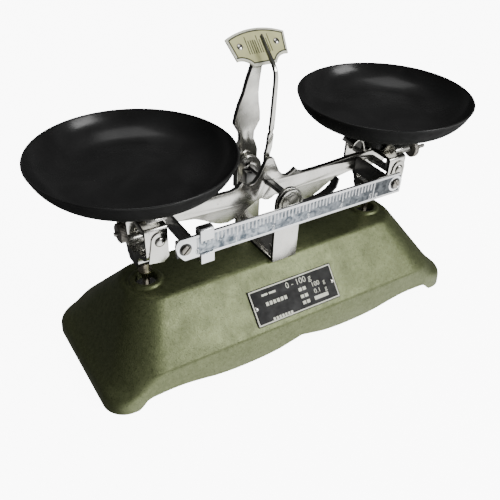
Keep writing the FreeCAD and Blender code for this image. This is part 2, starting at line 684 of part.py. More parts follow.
def ring_profile():
    """Half the section of the short tube under a pan that sits inside the carrier's arms."""
    outer, low = size("pan_ring_radius"), ST_TOP + size("carrier_plate") + 0.3
    high = size("pan_floor") - size("pan_sheet")
    return [(outer - 1.5, low), (outer, low), (outer, high), (outer - 1.5, high)]


def stay_pin():
    return cylinder(1.2, (0, -4.8, STAY_Z), (0, 4.8, STAY_Z))


def carrier_rivet():
    return dome(2.4, 1.0, (0, 0, ST_TOP + size("carrier_plate")), (0, 0, 1))


for side, name in ((-1, "left"), (1, "right")):
    middle = "%d * Sizes.arm_length" % side
    pieces = {
        "stirrup": stirrup(), "knife_seats": knife_seats(), "cheek_covers": cheek_covers(),
        "cover_rivets": cover_rivets(), "stem": stem().cut(stay_pin()), "stay_pin": stay_pin(),
        "pan_carrier": pan_carrier(), "carrier_rivet": carrier_rivet(),
    }
    for piece, shape in pieces.items():
        bind(solid(name + "_" + piece, shape), Placement__Base__x=middle)
    turned(name + "_pan", pan_profile(), Placement__Base__x=middle)
    turned(name + "_pan_ring", ring_profile(), Placement__Base__x=middle)

# ---------------------------------------------------------------- stay and its bracket

eye, waist = 3.6, 5.0
stay_path = [
    (waist, STAY_Z - waist), (ARM, STAY_Z - eye), ((ARM + eye, STAY_Z), (ARM, STAY_Z + eye)),
    (waist, STAY_Z + waist), (-waist, STAY_Z + waist), (-ARM, STAY_Z + eye),
    ((-ARM - eye, STAY_Z), (-ARM, STAY_Z - eye)), (-waist, STAY_Z - waist),
]
stay_bores = [(x, STAY_Z, 1.55) for x in (-ARM, 0, ARM)]
plate("stay_link", "XZ_Plane", stay_path, "2", stay_bores, Placement__Base__y="1")


def stay_bracket():
    """A hanger under the casting's top with two cheeks for the stay's middle pivot."""
    under = TOP_Z - size("base_wall")
    inner, outer, flange, sheet_t = 1.5, 3.3, 9.0, 1.8
    foot = STAY_Z - 5.0
    half = [(inner, under - sheet_t), (inner, foot), (outer, foot), (outer, under - sheet_t),
            (flange, under - sheet_t), (flange, under)]
    hanger = side_prism([(-a, b) for a, b in reversed(half)] + half, -6.0, 6.0)
    return hanger.cut(cylinder(1.5, (0, -9, STAY_Z), (0, 9, STAY_Z)))


solid("stay_bracket", stay_bracket())
stay_axle = doc.addObject("Part::Cylinder", "stay_axle")
stay_axle.Radius = 1.5
stay_axle.Height = 8.6
stay_axle.Placement = Placement(Vector(0, 4.3, 0), Rotation(Vector(0, 0, 1), Vector(0, -1, 0)))
bind(stay_axle, Placement__Base__z="Sizes.stay_height")
keep(stay_axle, "stay_axle")
under_bracket = TOP_Z - size("base_wall") - 1.8
solid("stay_bracket_screws", Part.makeCompound(
    [slotted_head(1.9, 1.4, 0.7, (x, y, under_bracket), (0, 0, -1))
     for x in (-3.4, 3.4) for y in (-6.2, 6.2)]))

# ---------------------------------------------------------------- check and write

doc.recompute()
for item in doc.Objects:
    if "Invalid" in item.State or "Error" in item.State:
        raise RuntimeError("%s did not build: %s" % (item.Label, item.State))
for item in PARTS:
    if item.Shape.isNull() or not item.Shape.isValid():
        raise RuntimeError("%s has no valid shape" % item.Label)
os.makedirs("parts", exist_ok=True)
for old in os.listdir("parts"):
    os.remove(os.path.join("parts", old))
for item in PARTS:
    item.Shape.exportStep(os.path.join("parts", item.Label + ".step"))
    box = item.Shape.BoundBox
    print("%-24s %2d solids  volume %9.1f  x %7.1f %7.1f  y %7.1f %7.1f  z %7.1f %7.1f" % (
        item.Label, len(item.Shape.Solids), item.Shape.Volume,
        box.XMin, box.XMax, box.YMin, box.YMax, box.ZMin, box.ZMax))
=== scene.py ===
import json
import math

import bmesh
import bpy
from mathutils import Matrix, Vector, geometry

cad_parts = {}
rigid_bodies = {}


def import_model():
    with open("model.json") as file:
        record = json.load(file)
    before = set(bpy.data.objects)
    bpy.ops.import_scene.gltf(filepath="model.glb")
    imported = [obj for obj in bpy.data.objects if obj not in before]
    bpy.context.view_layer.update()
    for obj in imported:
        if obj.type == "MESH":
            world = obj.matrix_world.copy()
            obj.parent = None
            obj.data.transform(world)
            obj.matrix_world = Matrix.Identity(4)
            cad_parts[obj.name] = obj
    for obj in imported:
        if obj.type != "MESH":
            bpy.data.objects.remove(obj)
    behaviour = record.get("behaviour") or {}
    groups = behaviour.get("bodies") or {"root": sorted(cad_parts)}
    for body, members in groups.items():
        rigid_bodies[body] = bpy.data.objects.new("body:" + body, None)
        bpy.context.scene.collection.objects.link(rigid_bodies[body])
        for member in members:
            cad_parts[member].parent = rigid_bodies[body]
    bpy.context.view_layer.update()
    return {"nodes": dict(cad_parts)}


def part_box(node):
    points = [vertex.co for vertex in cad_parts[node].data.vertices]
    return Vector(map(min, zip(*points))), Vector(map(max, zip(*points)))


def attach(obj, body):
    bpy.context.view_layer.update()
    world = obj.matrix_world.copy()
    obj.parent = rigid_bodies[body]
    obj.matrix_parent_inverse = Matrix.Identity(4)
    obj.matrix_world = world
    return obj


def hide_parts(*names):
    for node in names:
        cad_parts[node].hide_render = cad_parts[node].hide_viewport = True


# A two-pan rack balance: olive hammertone casting, polished beam and stirrups, black enamelled pans,
# a graduated rider bar in front, and a pointer that plays over a leaning cream dial.

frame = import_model()
MM = 0.001
MERGE = 2e-6
SUNK = 0.02


def mm(*numbers):
    """A point or size given in millimetres."""
    return Vector(numbers) * MM


# ---- finishes

class Finish:
    """One material: its shader, and short ways to lay a pattern on it."""

    def __init__(self, name):
        self.material = bpy.data.materials.new(name)
        self.material.use_nodes = True
        self.tree = self.material.node_tree
        self.shader = self.tree.nodes["Principled BSDF"]
        self.place = self.tree.nodes.new("ShaderNodeTexCoord")

    def add(self, kind, **settings):
        """A node with some of its own settings or inputs set."""
        node = self.tree.nodes.new(kind)
        for key, value in settings.items():
            name = key.replace("_", " ")
            if name in node.inputs:
                node.inputs[name].default_value = value
            else:
                setattr(node, key, value)
        return node

    def link(self, out, into):
        self.tree.links.new(out, into)

    def set(self, **inputs):
        """Plain values, straight on the shader's sockets."""
        for key, value in inputs.items():
            self.shader.inputs[key.replace("_", " ")].default_value = value

    def where(self, stretch=(1, 1, 1)):
        """The piece's own coordinates, stretched."""
        mapping = self.add("ShaderNodeMapping", Scale=stretch)
        self.link(self.place.outputs["Object"], mapping.inputs["Vector"])
        return mapping.outputs["Vector"]

    def cloud(self, per_metre, stretch=(1, 1, 1), detail=3.0, distortion=0.0):
        """Soft irregular patches, so many to the metre."""
        noise = self.add("ShaderNodeTexNoise", Scale=per_metre, Detail=detail, Distortion=distortion)
        self.link(self.where(stretch), noise.inputs["Vector"])
        return noise.outputs["Fac"]

    def cells(self, per_metre, feature="SMOOTH_F1"):
        """Small rounded cells, as a hammered or stippled skin has."""
        voronoi = self.add("ShaderNodeTexVoronoi", Scale=per_metre, feature=feature)
        self.link(self.where(), voronoi.inputs["Vector"])
        return voronoi.outputs["Distance"]

    def ramp(self, source, *stops):
        """Colours or greys along a pattern: (place, value) pairs."""
        ramp = self.add("ShaderNodeValToRGB")
        band = ramp.color_ramp
        while len(band.elements) < len(stops):
            band.elements.new(0.5)
        for element, (place, value) in zip(band.elements, stops):
            element.position = place
            element.color = (*value, 1) if isinstance(value, tuple) else (value, value, value, 1)
        self.link(source, ramp.inputs["Fac"])
        return ramp.outputs["Color"]

    def colour(self, source):
        """What the base colour follows."""
        self.link(source, self.shader.inputs["Base Color"])

    def rough(self, source, *stops):
        """How the gloss varies along a pattern."""
        self.link(self.ramp(source, *stops), self.shader.inputs["Roughness"])

    def over(self, under, upper, amount, how="MULTIPLY"):
        """Two colours laid one over the other."""
        mix = self.add("ShaderNodeMix", data_type="RGBA", blend_type=how)
        mix.inputs[0].default_value = amount
        self.link(under, mix.inputs[6])
        self.link(upper, mix.inputs[7])
        return mix.outputs[2]

    def bumps(self, *layers):
        """Relief: (pattern, height in mm, strength) layers, one over another."""
        last = None
        for pattern, height, strength in layers:
            bump = self.add("ShaderNodeBump", Distance=height * MM, Strength=strength)
            self.link(pattern, bump.inputs["Height"])
            if last:
                self.link(last, bump.inputs["Normal"])
            last = bump.outputs["Normal"]
        self.link(last, self.shader.inputs["Normal"])


def hammertone_paint():
    """Olive hammered enamel: dimples with a paler crown, fine dark specks, under a clear coat."""
    f = Finish("olive_hammertone")
    dimples = f.cells(1100)
    tone = f.ramp(f.cloud(420, detail=4), (0.28, (0.125, 0.146, 0.063)), (0.72, (0.178, 0.202, 0.097)))
    crowns = f.ramp(dimples, (0.05, 1.0), (0.75, 0.80))
    specks = f.ramp(f.cloud(1700, detail=1), (0.30, 0.40), (0.38, 1.0))
    f.colour(f.over(f.over(tone, crowns, 0.8), specks, 0.9))
    f.rough(f.cloud(90), (0.3, 0.40), (0.7, 0.52))
    f.bumps((dimples, 0.12, 0.35), (f.cloud(1900), 0.04, 0.25))
    f.set(Metallic=0.72, Coat_Weight=0.08, Coat_Roughness=0.3)
    return f.material


def bright_metal(name, dark, light, rough, brush=(1, 1, 1), pits=0.35):
    """Polished sheet: faint brushing, cloudy polish, and a few pits gone dark."""
    f = Finish(name)
    tone = f.ramp(f.cloud(55, detail=4), (0.3, dark), (0.7, light))
    specks = f.ramp(f.cloud(900, detail=2), (0.26, 0.35), (0.34, 1.0))
    f.colour(f.over(tone, specks, pits))
    f.rough(f.cloud(160, detail=5), (0.3, rough), (0.75, rough * 1.9))
    f.bumps((f.cloud(60, detail=1), 0.25, 0.10), (f.cloud(700, brush, 2), 0.03, 0.22))
    f.set(Metallic=1.0)
    return f.material


def pan_enamel():
    """Black stoved enamel with fine orange peel and a little dust."""
    f = Finish("black_pan_enamel")
    dust = f.ramp(f.cloud(1300, detail=1), (0.76, (0.014, 0.014, 0.014)), (0.84, (0.045, 0.045, 0.045)))
    wear_and_falloff = f.ramp(f.cloud(45, detail=6, distortion=0.6), (0.35, 1.0), (0.8, 1.8))
    f.colour(f.over(dust, wear_and_falloff, 1.0))
    f.rough(f.cloud(70, detail=5), (0.3, 0.17), (0.75, 0.28))
    f.bumps((f.cloud(420, detail=2), 0.07, 0.20), (f.cloud(2200, detail=1), 0.03, 0.2))
    f.set(IOR=1.30, Specular_IOR_Level=0.5)
    return f.material


def pan_underside():
    """The pan's outer skin: the same black made darker, as painted shade under the pan, and left dull.
    """
    f = Finish("dull_shaded_pan_enamel")
    f.colour(f.ramp(f.cloud(60, detail=5), (0.3, (0.006, 0.006, 0.006)), (0.7, (0.016, 0.016, 0.016))))
    f.rough(f.cloud(300, detail=3), (0.3, 0.45), (0.7, 0.6))
    f.bumps((f.cloud(700, detail=2), 0.08, 0.25))
    f.set(Specular_IOR_Level=0.04)
    return f.material


def raw_iron():
    """The inside of the casting and the sheet beneath it: near black, as painted shade in the hollow,
    and rough as it came from the sand.
    """
    f = Finish("raw_iron")
    f.colour(f.ramp(f.cloud(210, detail=5), (0.3, (0.012, 0.012, 0.010)), (0.7, (0.035, 0.034, 0.028))))
    f.rough(f.cloud(420, detail=3), (0.3, 0.6), (0.7, 0.8))
    f.bumps((f.cells(700), 0.2, 0.4), (f.cloud(1700), 0.08, 0.3))
    f.set(Metallic=0.3)
    return f.material


def enamel(name, dark, light, rough, coat=0.2, metallic=0.0):
    """Flat printed or stoved enamel, slightly uneven, with handling marks."""
    f = Finish(name)
    tone = f.ramp(f.cloud(130, detail=5), (0.3, dark), (0.7, light))
    marks = f.ramp(f.cloud(1100, detail=2), (0.25, 0.55), (0.33, 1.0))
    f.colour(f.over(tone, marks, 0.5))
    f.rough(f.cloud(240, detail=4), (0.3, rough), (0.7, rough * 1.5))
    f.bumps((f.cloud(900, detail=2), 0.04, 0.25))
    f.set(Metallic=metallic, Coat_Weight=coat, Coat_Roughness=0.15)
    return f.material


def etched_ground():
    """The bar's etched face: blue-grey satin metal, blotched by the etch, with painted light and shade:
    lighter at the left end, darker towards the right.
    """
    f = Finish("etched_ground")
    tone = f.ramp(f.cloud(330, detail=6, distortion=0.8), (0.36, (0.07, 0.09, 0.11)),
                  (0.64, (0.44, 0.48, 0.52)))
    # painted light and shade along the bar: full tone at the left, falling to about a seventh towards
    # the right end
    along = f.add("ShaderNodeSeparateXYZ")
    f.link(f.where((7.0, 1, 1)), along.inputs[0])
    wear_and_falloff = f.add("ShaderNodeMath", operation="MULTIPLY_ADD")
    wear_and_falloff.inputs[1].default_value, wear_and_falloff.inputs[2].default_value = 1.0, 0.5
    f.link(along.outputs[0], wear_and_falloff.inputs[0])
    painted_falloff = f.ramp(wear_and_falloff.outputs[0], (0.35, 1.0), (0.97, 0.14))
    f.colour(f.over(tone, painted_falloff, 1.0))
    f.rough(f.cloud(700, detail=3), (0.3, 0.30), (0.7, 0.48))
    f.bumps((f.cells(1500), 0.05, 0.35), (f.cloud(240), 0.05, 0.2))
    f.set(Metallic=0.75)
    return f.material


PAINT = hammertone_paint()
PLATED = bright_metal("bright_nickel", (0.50, 0.49, 0.45), (0.70, 0.69, 0.65), 0.13, (1, 1, 0.06))
POLISHED = bright_metal("polished_steel", (0.52, 0.51, 0.47), (0.74, 0.73, 0.69), 0.15, (0.05, 1, 1),
                        0.6)
BAR_METAL = bright_metal("bar_nickel", (0.66, 0.67, 0.68), (0.82, 0.83, 0.84), 0.16, (0.05, 1, 1), 0.2)
ZINC = bright_metal("zinc_plate", (0.30, 0.30, 0.28), (0.46, 0.45, 0.42), 0.30, (0.2, 1, 1))
GROUND = bright_metal("ground_steel", (0.20, 0.20, 0.20), (0.32, 0.32, 0.31), 0.28, (1, 0.05, 1))
NUT_STEEL = bright_metal("nut_steel", (0.20, 0.19, 0.17), (0.34, 0.32, 0.29), 0.24, (1, 0.3, 1), 0.5)
BRASSY = bright_metal("worn_nickel_on_brass", (0.27, 0.24, 0.18), (0.42, 0.39, 0.32), 0.22,
                      (1, 0.3, 1), 0.6)
# The dark finish for the side faces of sheet pieces: duller sheared metal, darkened further as painted
# shade.
SHEARED_AND_SHADED = bright_metal("sheared_edge_and_shade", (0.035, 0.035, 0.032), (0.11, 0.11, 0.10), 0.30, (1, 1, 0.1),
                       0.4)
BLACKED = enamel("blacked_steel", (0.012, 0.012, 0.011), (0.030, 0.030, 0.028), 0.36)
HOLLOW_SHADE = raw_iron()
ENAMEL = pan_enamel()
UNDERSIDE = pan_underside()
CREAM = enamel("cream_dial_enamel", (0.58, 0.57, 0.28), (0.70, 0.69, 0.36), 0.4, 0.1)
DIAL_INK = enamel("olive_dial_ink", (0.022, 0.024, 0.010), (0.05, 0.052, 0.025), 0.5, 0.0)
LABEL_BLACK = enamel("label_black", (0.008, 0.008, 0.008), (0.020, 0.020, 0.019), 0.55, 0.0)
LABEL_CREAM = enamel("label_cream_line", (0.72, 0.72, 0.58), (0.84, 0.84, 0.70), 0.4, 0.1)
BAR_GROUND = etched_ground()
MARK_WHITE = enamel("filled_graduation", (0.72, 0.74, 0.76), (0.86, 0.87, 0.88), 0.35, 0.1)


# ---- putting a piece in its place

def fit_out(obj, body, nodes=(), material=None):
    """Give a finished piece its metal, its body and the CAD nodes that it stands for."""
    if material:
        obj.data.materials.clear()
        obj.data.materials.append(material)
    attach(obj, body)
    if nodes:
        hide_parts(*nodes)
    return obj


def mesh_of(name, shape):
    """The finished mesh of a worked shape."""
    mesh = bpy.data.meshes.new(name)
    shape.to_mesh(mesh)
    shape.free()
    return mesh


def new_piece(name, mesh):
    obj = bpy.data.objects.new(name, mesh)
    bpy.context.scene.collection.objects.link(obj)
    return obj


def bare_copy(node):
    """A CAD node's shape with its loose triangles joined and its flats made whole."""
    shape = bmesh.new()
    shape.from_mesh(frame["nodes"][node].data)
    bmesh.ops.remove_doubles(shape, verts=shape.verts, dist=MERGE)
    bmesh.ops.dissolve_limit(shape, angle_limit=math.radians(1.2), verts=shape.verts, edges=shape.edges,
                             use_dissolve_boundaries=False)
    return shape


def smooth_by_angle(mesh, degrees=35):
    """Smooth shading that keeps every edge sharper than this."""
    shape = bmesh.new()
    shape.from_mesh(mesh)
    limit = math.radians(degrees)
    for face in shape.faces:
        face.smooth = True
    for edge in shape.edges:
        edge.smooth = len(edge.link_faces) == 2 and edge.calc_face_angle(0) < limit
    shape.to_mesh(mesh)
    shape.free()


def settled(obj):
    """Apply an object's modifiers and keep only the mesh."""
    graph = bpy.context.evaluated_depsgraph_get()
    mesh = bpy.data.meshes.new_from_object(obj.evaluated_get(graph))
    name, old = obj.name, obj.data
    bpy.data.objects.remove(obj)
    if old.users == 0:
        bpy.data.meshes.remove(old)
    mesh.name = name
    return new_piece(name, mesh)


def eased(name, node, body, material, width=0.25, segments=2):
    """A CAD node as it leaves the bench: the same shape with its edges broken."""
    obj = new_piece(name, mesh_of(name, bare_copy(node)))
    bevel = obj.modifiers.new("eased", "BEVEL")
    bevel.width = width * MM
    bevel.segments = segments
    bevel.limit_method = "ANGLE"
    bevel.angle_limit = math.radians(32)
    bevel.use_clamp_overlap = True
    bevel.miter_outer = "MITER_ARC"
    obj = settled(obj)
    smooth_by_angle(obj.data)
    return fit_out(obj, body, [node], material)


def dull_edges(obj, axes, material, limit=0.93):
    """Darken the sheared edges of a sheet piece, partly a duller finish and partly painted shade: every
    face that looks mostly along axes.
    """
    if len(obj.data.materials) < 2:
        obj.data.materials.append(material)
    for face in obj.data.polygons:
        if math.hypot(*(face.normal[i] for i in axes)) > limit:
            face.material_index = 1
    return obj


def turned(name, profile, centre, body, material, nodes=(), turns=96, closed=True):
    """A piece off the lathe: (radius, height) in mm, spun round an upright axis through centre."""
    shape = bmesh.new()
    rings = []
    for radius, height in profile:
        if radius < 1e-6:
            rings.append([shape.verts.new(centre + mm(0, 0, height))])
            continue
        ring = []
        for k in range(turns):
            a = 2 * math.pi * k / turns
            ring.append(shape.verts.new(centre + mm(radius * math.cos(a), radius * math.sin(a),
                                                    height)))
        rings.append(ring)
    loop = list(zip(rings, rings[1:])) + ([(rings[-1], rings[0])] if closed else [])
    for low, high in loop:
        if len(low) == 1 and len(high) == 1:
            continue
        for k in range(turns):
            n = (k + 1) % turns
            corners = [low[k % len(low)], low[n % len(low)], high[n % len(high)], high[k % len(high)]]
            corners = [v for i, v in enumerate(corners) if v not in corners[:i]]
            shape.faces.new(corners)
    bmesh.ops.recalc_face_normals(shape, faces=shape.faces)
    mesh = mesh_of(name, shape)
    smooth_by_angle(mesh, 40)
    return fit_out(new_piece(name, mesh), body, nodes, material)


def arc(centre, radius, start, end, steps):
    """Points round an arc, in degrees."""
    points = []
    for k in range(steps + 1):
        a = math.radians(start + (end - start) * k / steps)
        points.append((centre[0] + radius * math.cos(a), centre[1] + radius * math.sin(a)))
    return points


# ---- repeated pieces, by geometry nodes

class Jig:
    """A geometry tree that makes one kind of repeated piece, with named inputs for its sizes."""

    def __init__(self, name, *sizes):
        self.tree = bpy.data.node_groups.new(name, "GeometryNodeTree")
        face = self.tree.interface
        face.new_socket("Geometry", in_out="INPUT", socket_type="NodeSocketGeometry")
        face.new_socket("Geometry", in_out="OUTPUT", socket_type="NodeSocketGeometry")
        self.ids = {}
        for size in sizes:
            kind = {"count": "NodeSocketInt", "every": "NodeSocketInt"}.get(size.split()[-1],
                                                                            "NodeSocketFloat")
            kind = "NodeSocketMaterial" if size == "finish" else kind
            self.ids[size] = face.new_socket(size, in_out="INPUT", socket_type=kind).identifier
        self.entry = self.tree.nodes.new("NodeGroupInput")
        self.exit = self.tree.nodes.new("NodeGroupOutput")

    def size(self, name):
        return self.entry.outputs[name]

    def node(self, kind, settings=None, **inputs):
        """A node, its settings, and its inputs by name: plain values or other sockets."""
        node = self.tree.nodes.new(kind)
        for key, value in (settings or {}).items():
            setattr(node, key, value)
        for key, value in inputs.items():
            socket = node.inputs[int(key[1:])] if key[0] == "i" and key[1:].isdigit() else (
                node.inputs[key.replace("_", " ")])
            if isinstance(value, bpy.types.NodeSocket):
                self.tree.links.new(value, socket)
            else:
                socket.default_value = value
        return node

    def sum(self, operation, a, b=0.0):
        return self.node("ShaderNodeMath", {"operation": operation}, i0=a, i1=b).outputs[0]

    def times(self, a, b):
        return self.sum("MULTIPLY", a, b)

    def join(self, out, into):
        self.tree.links.new(out, into)

    def vector(self, x=0.0, y=0.0, z=0.0):
        return self.node("ShaderNodeCombineXYZ", X=x, Y=y, Z=z).outputs[0]

    def finish(self, geometry_socket):
        """Every tree ends the same way: real meshes, with their finish on."""
        real = self.node("GeometryNodeRealizeInstances", Geometry=geometry_socket)
        dressed = self.node("GeometryNodeSetMaterial", Geometry=real.outputs[0],
                            Material=self.size("finish"))
        self.tree.links.new(dressed.outputs[0], self.exit.inputs[0])

    def make(self, name, sizes, points=(), facings=(), turns=()):
        """Run the tree on a few marked points and keep the plain mesh."""
        mesh = bpy.data.meshes.new(name)
        mesh.from_pydata([tuple(p) for p in points], [], [])
        mesh.attributes.new("facing", "FLOAT_VECTOR", "POINT")
        mesh.attributes.new("turn", "FLOAT", "POINT")
        for k in range(len(points)):
            mesh.attributes["facing"].data[k].vector = tuple(facings[k])
            mesh.attributes["turn"].data[k].value = turns[k] if turns else 0.0
        obj = new_piece(name, mesh)
        modifier = obj.modifiers.new("jig", "NODES")
        modifier.node_group = self.tree
        for key, value in sizes.items():
            modifier[self.ids[key]] = value
        obj = settled(obj)
        smooth_by_angle(obj.data, 38)
        return obj


def set_on_points(jig, shape):
    """Stand a shape on each marked point, facing outwards and turned."""
    facing = jig.node("GeometryNodeInputNamedAttribute", {"data_type": "FLOAT_VECTOR"}, Name="facing")
    turn = jig.node("GeometryNodeInputNamedAttribute", {"data_type": "FLOAT"}, Name="turn")
    spin = jig.node("FunctionNodeAxisAngleToRotation", Axis=(0, 0, 1), Angle=turn.outputs[0])
    stand = jig.node("FunctionNodeAlignRotationToVector", {"axis": "Z"}, Vector=facing.outputs[0])
    whole = jig.node("FunctionNodeRotateRotation", {"rotation_space": "LOCAL"},
                     Rotation=stand.outputs[0])
    jig.join(spin.outputs[0], whole.inputs[1])
    placed = jig.node("GeometryNodeInstanceOnPoints", Points=jig.entry.outputs[0], Instance=shape)
    jig.join(whole.outputs[0], placed.inputs["Rotation"])
    return placed.outputs[0]


def screw_jig():
    """Cheese-head screws: a head with a broken rim and a sawn slot."""
    jig = Jig("slotted_screw", "radius", "height", "slot", "finish")
    radius, height, slot = jig.size("radius"), jig.size("height"), jig.size("slot")
    lower = jig.times(height, 0.86)
    body = jig.node("GeometryNodeMeshCylinder", Vertices=40, Radius=radius, Depth=lower)
    raised = jig.node("GeometryNodeTransform", Geometry=body.outputs[0],
                      Translation=jig.vector(z=jig.times(lower, 0.5)))
    rim = jig.node("GeometryNodeMeshCone", Vertices=40, Radius_Bottom=radius,
                   Radius_Top=jig.times(radius, 0.86), Depth=jig.times(height, 0.14))
    lifted = jig.node("GeometryNodeTransform", Geometry=rim.outputs[0], Translation=jig.vector(z=lower))
    head = jig.node("GeometryNodeMeshBoolean", {"operation": "UNION", "solver": "EXACT"})
    jig.join(raised.outputs[0], head.inputs["Mesh 2"])
    jig.join(lifted.outputs[0], head.inputs["Mesh 2"])
    saw = jig.node("GeometryNodeMeshCube", Size=jig.vector(jig.times(radius, 3.0), slot, height))
    over = jig.node("GeometryNodeTransform", Geometry=saw.outputs[0], Translation=jig.vector(z=height))
    cut = jig.node("GeometryNodeMeshBoolean", {"operation": "DIFFERENCE", "solver": "EXACT"})
    jig.join(head.outputs[0], cut.inputs["Mesh 1"])
    jig.join(over.outputs[0], cut.inputs["Mesh 2"])
    jig.finish(set_on_points(jig, cut.outputs[0]))
    return jig


def rivet_jig():
    """Domed rivets: a low button that sits flat on its plate."""
    jig = Jig("domed_rivet", "radius", "height", "finish")
    ball = jig.node("GeometryNodeMeshUVSphere", Segments=32, Rings=20, Radius=1.0)
    place = jig.node("GeometryNodeInputPosition")
    parts = jig.node("ShaderNodeSeparateXYZ", Vector=place.outputs[0])
    x = jig.times(parts.outputs[0], jig.size("radius"))
    y = jig.times(parts.outputs[1], jig.size("radius"))
    z = jig.times(jig.sum("MAXIMUM", parts.outputs[2], 0.0), jig.size("height"))
    button = jig.node("GeometryNodeSetPosition", Geometry=ball.outputs[0], Position=jig.vector(x, y, z))
    jig.finish(set_on_points(jig, button.outputs[0]))
    return jig


def graduation_jig():
    """A row of ruled marks: every so many is long, the rest short, all hung from one line."""
    jig = Jig("graduation", "mark count", "long every", "mid every", "pitch", "short", "mid", "long",
              "line", "proud",
              "finish")
    row = jig.node("GeometryNodeMeshLine", {"mode": "OFFSET", "count_mode": "TOTAL"},
                   Count=jig.size("mark count"),
                   Offset=jig.vector(x=jig.size("pitch")))
    index = jig.node("GeometryNodeInputIndex").outputs[0]

    def on_every(name):
        left_over = jig.sum("MODULO", index, jig.size(name))
        return jig.sum("LESS_THAN", left_over, 0.5)

    def choose(test, yes, no):
        gap = jig.sum("SUBTRACT", yes, no)
        return jig.sum("ADD", no, jig.times(gap, test))

    length = choose(on_every("mid every"), jig.size("mid"), jig.size("short"))
    length = choose(on_every("long every"), jig.size("long"), length)
    mark = jig.node("GeometryNodeMeshCube", Size=(1, 1, 1))
    hung = jig.node("GeometryNodeTransform", Geometry=mark.outputs[0], Translation=(0, -0.5, 0.5))
    placed = jig.node("GeometryNodeInstanceOnPoints", Points=row.outputs[0], Instance=hung.outputs[0],
                      Scale=jig.vector(jig.size("line"), length, jig.size("proud")))
    jig.finish(placed.outputs[0])
    return jig


def thread_jig():
    """A threaded rod: a vee ridge wound along a plain core."""
    jig = Jig("thread", "core", "turn count", "length", "depth", "finish")
    reach = jig.sum("ADD", jig.size("core"), jig.times(jig.size("depth"), 0.1))
    coil = jig.node("GeometryNodeCurveSpiral", Resolution=28, Rotations=jig.size("turn count"),
                    Start_Radius=reach, End_Radius=reach, Height=jig.size("length"))
    ridge = jig.node("GeometryNodeCurvePrimitiveCircle", Resolution=4, Radius=jig.size("depth"))
    wound = jig.node("GeometryNodeCurveToMesh", Curve=coil.outputs[0], Profile_Curve=ridge.outputs[0],
                     Fill_Caps=True)
    rod = jig.node("GeometryNodeMeshCylinder", Vertices=32, Radius=jig.size("core"),
                   Depth=jig.size("length"))
    stood = jig.node("GeometryNodeTransform", Geometry=rod.outputs[0],
                     Translation=jig.vector(z=jig.times(jig.size("length"), 0.5)))
    both = jig.node("GeometryNodeJoinGeometry")
    for part in (wound, stood):
        jig.join(part.outputs[0], both.inputs[0])
    jig.finish(set_on_points(jig, both.outputs[0]))
    return jig


def knurl_jig():
    """Ridges round a turned rim."""
    jig = Jig("knurl", "ridge count", "radius", "width", "ridge", "finish")
    ring = jig.node("GeometryNodeMeshCircle", Vertices=jig.size("ridge count"),
                    Radius=jig.size("radius"))
    place = jig.node("GeometryNodeInputPosition")
    look = jig.node("FunctionNodeAlignRotationToVector", {"axis": "X"}, Vector=place.outputs[0])
    tooth = jig.node("GeometryNodeMeshCylinder", Vertices=6, Radius=jig.size("ridge"),
                     Depth=jig.size("width"))
    teeth = jig.node("GeometryNodeInstanceOnPoints", Points=ring.outputs[0], Instance=tooth.outputs[0],
                     Rotation=look.outputs[0])
    real = jig.node("GeometryNodeRealizeInstances", Geometry=teeth.outputs[0])
    jig.finish(set_on_points(jig, real.outputs[0]))
    return jig


SCREWS, RIVETS, MARKS = screw_jig(), rivet_jig(), graduation_jig()
THREADS, KNURLS = thread_jig(), knurl_jig()


def heads_of(node, facing):
    """Where each screw or rivet of a CAD node stands: (foot, radius, height)."""
    facing = Vector(facing).normalized()
    shape = bmesh.new()
    shape.from_mesh(frame["nodes"][node].data)
    bmesh.ops.remove_doubles(shape, verts=shape.verts, dist=MERGE)
    left, found = set(shape.verts), []
    while left:
        crowd, edge = set(), [next(iter(left))]
        while edge:
            v = edge.pop()
            if v not in crowd:
                crowd.add(v)
                edge.extend(e.other_vert(v) for e in v.link_edges)
        left -= crowd
        heights = [v.co.dot(facing) for v in crowd]
        flats = [v.co - facing * v.co.dot(facing) for v in crowd]
        low = Vector([min(p[i] for p in flats) for i in range(3)])
        high = Vector([max(p[i] for p in flats) for i in range(3)])
        middle = (low + high) / 2
        radius = max((p - middle).length for p in flats)
        found.append((middle + facing * min(heights), radius, max(heights) - min(heights)))
    shape.free()
    return sorted(found, key=lambda head: tuple(round(c, 5) for c in head[0]))


def put_in_screws(name, node, facing, body, material, slot_width, turns=(0.6, 2.1, 1.2, 2.7)):
    heads = heads_of(node, facing)
    sizes = {"radius": heads[0][1], "height": heads[0][2], "slot": slot_width * MM, "finish": material}
    obj = SCREWS.make(name, sizes, [h[0] for h in heads], [facing] * len(heads), turns)
    return fit_out(obj, body, [node])


def put_in_rivets(name, node, facings, body, material):
    """Rivets that all face one way, or the outermost rivet for each of several ways."""
    if len(facings) == 1:
        heads = heads_of(node, facings[0])
        facings = facings * len(heads)
    else:
        heads = [max(heads_of(node, f), key=lambda head, f=f: head[0].dot(Vector(f))) for f in facings]
    sizes = {"radius": heads[0][1], "height": heads[0][2], "finish": material}
    obj = RIVETS.make(name, sizes, [h[0] for h in heads], facings)
    return fit_out(obj, body, [node])


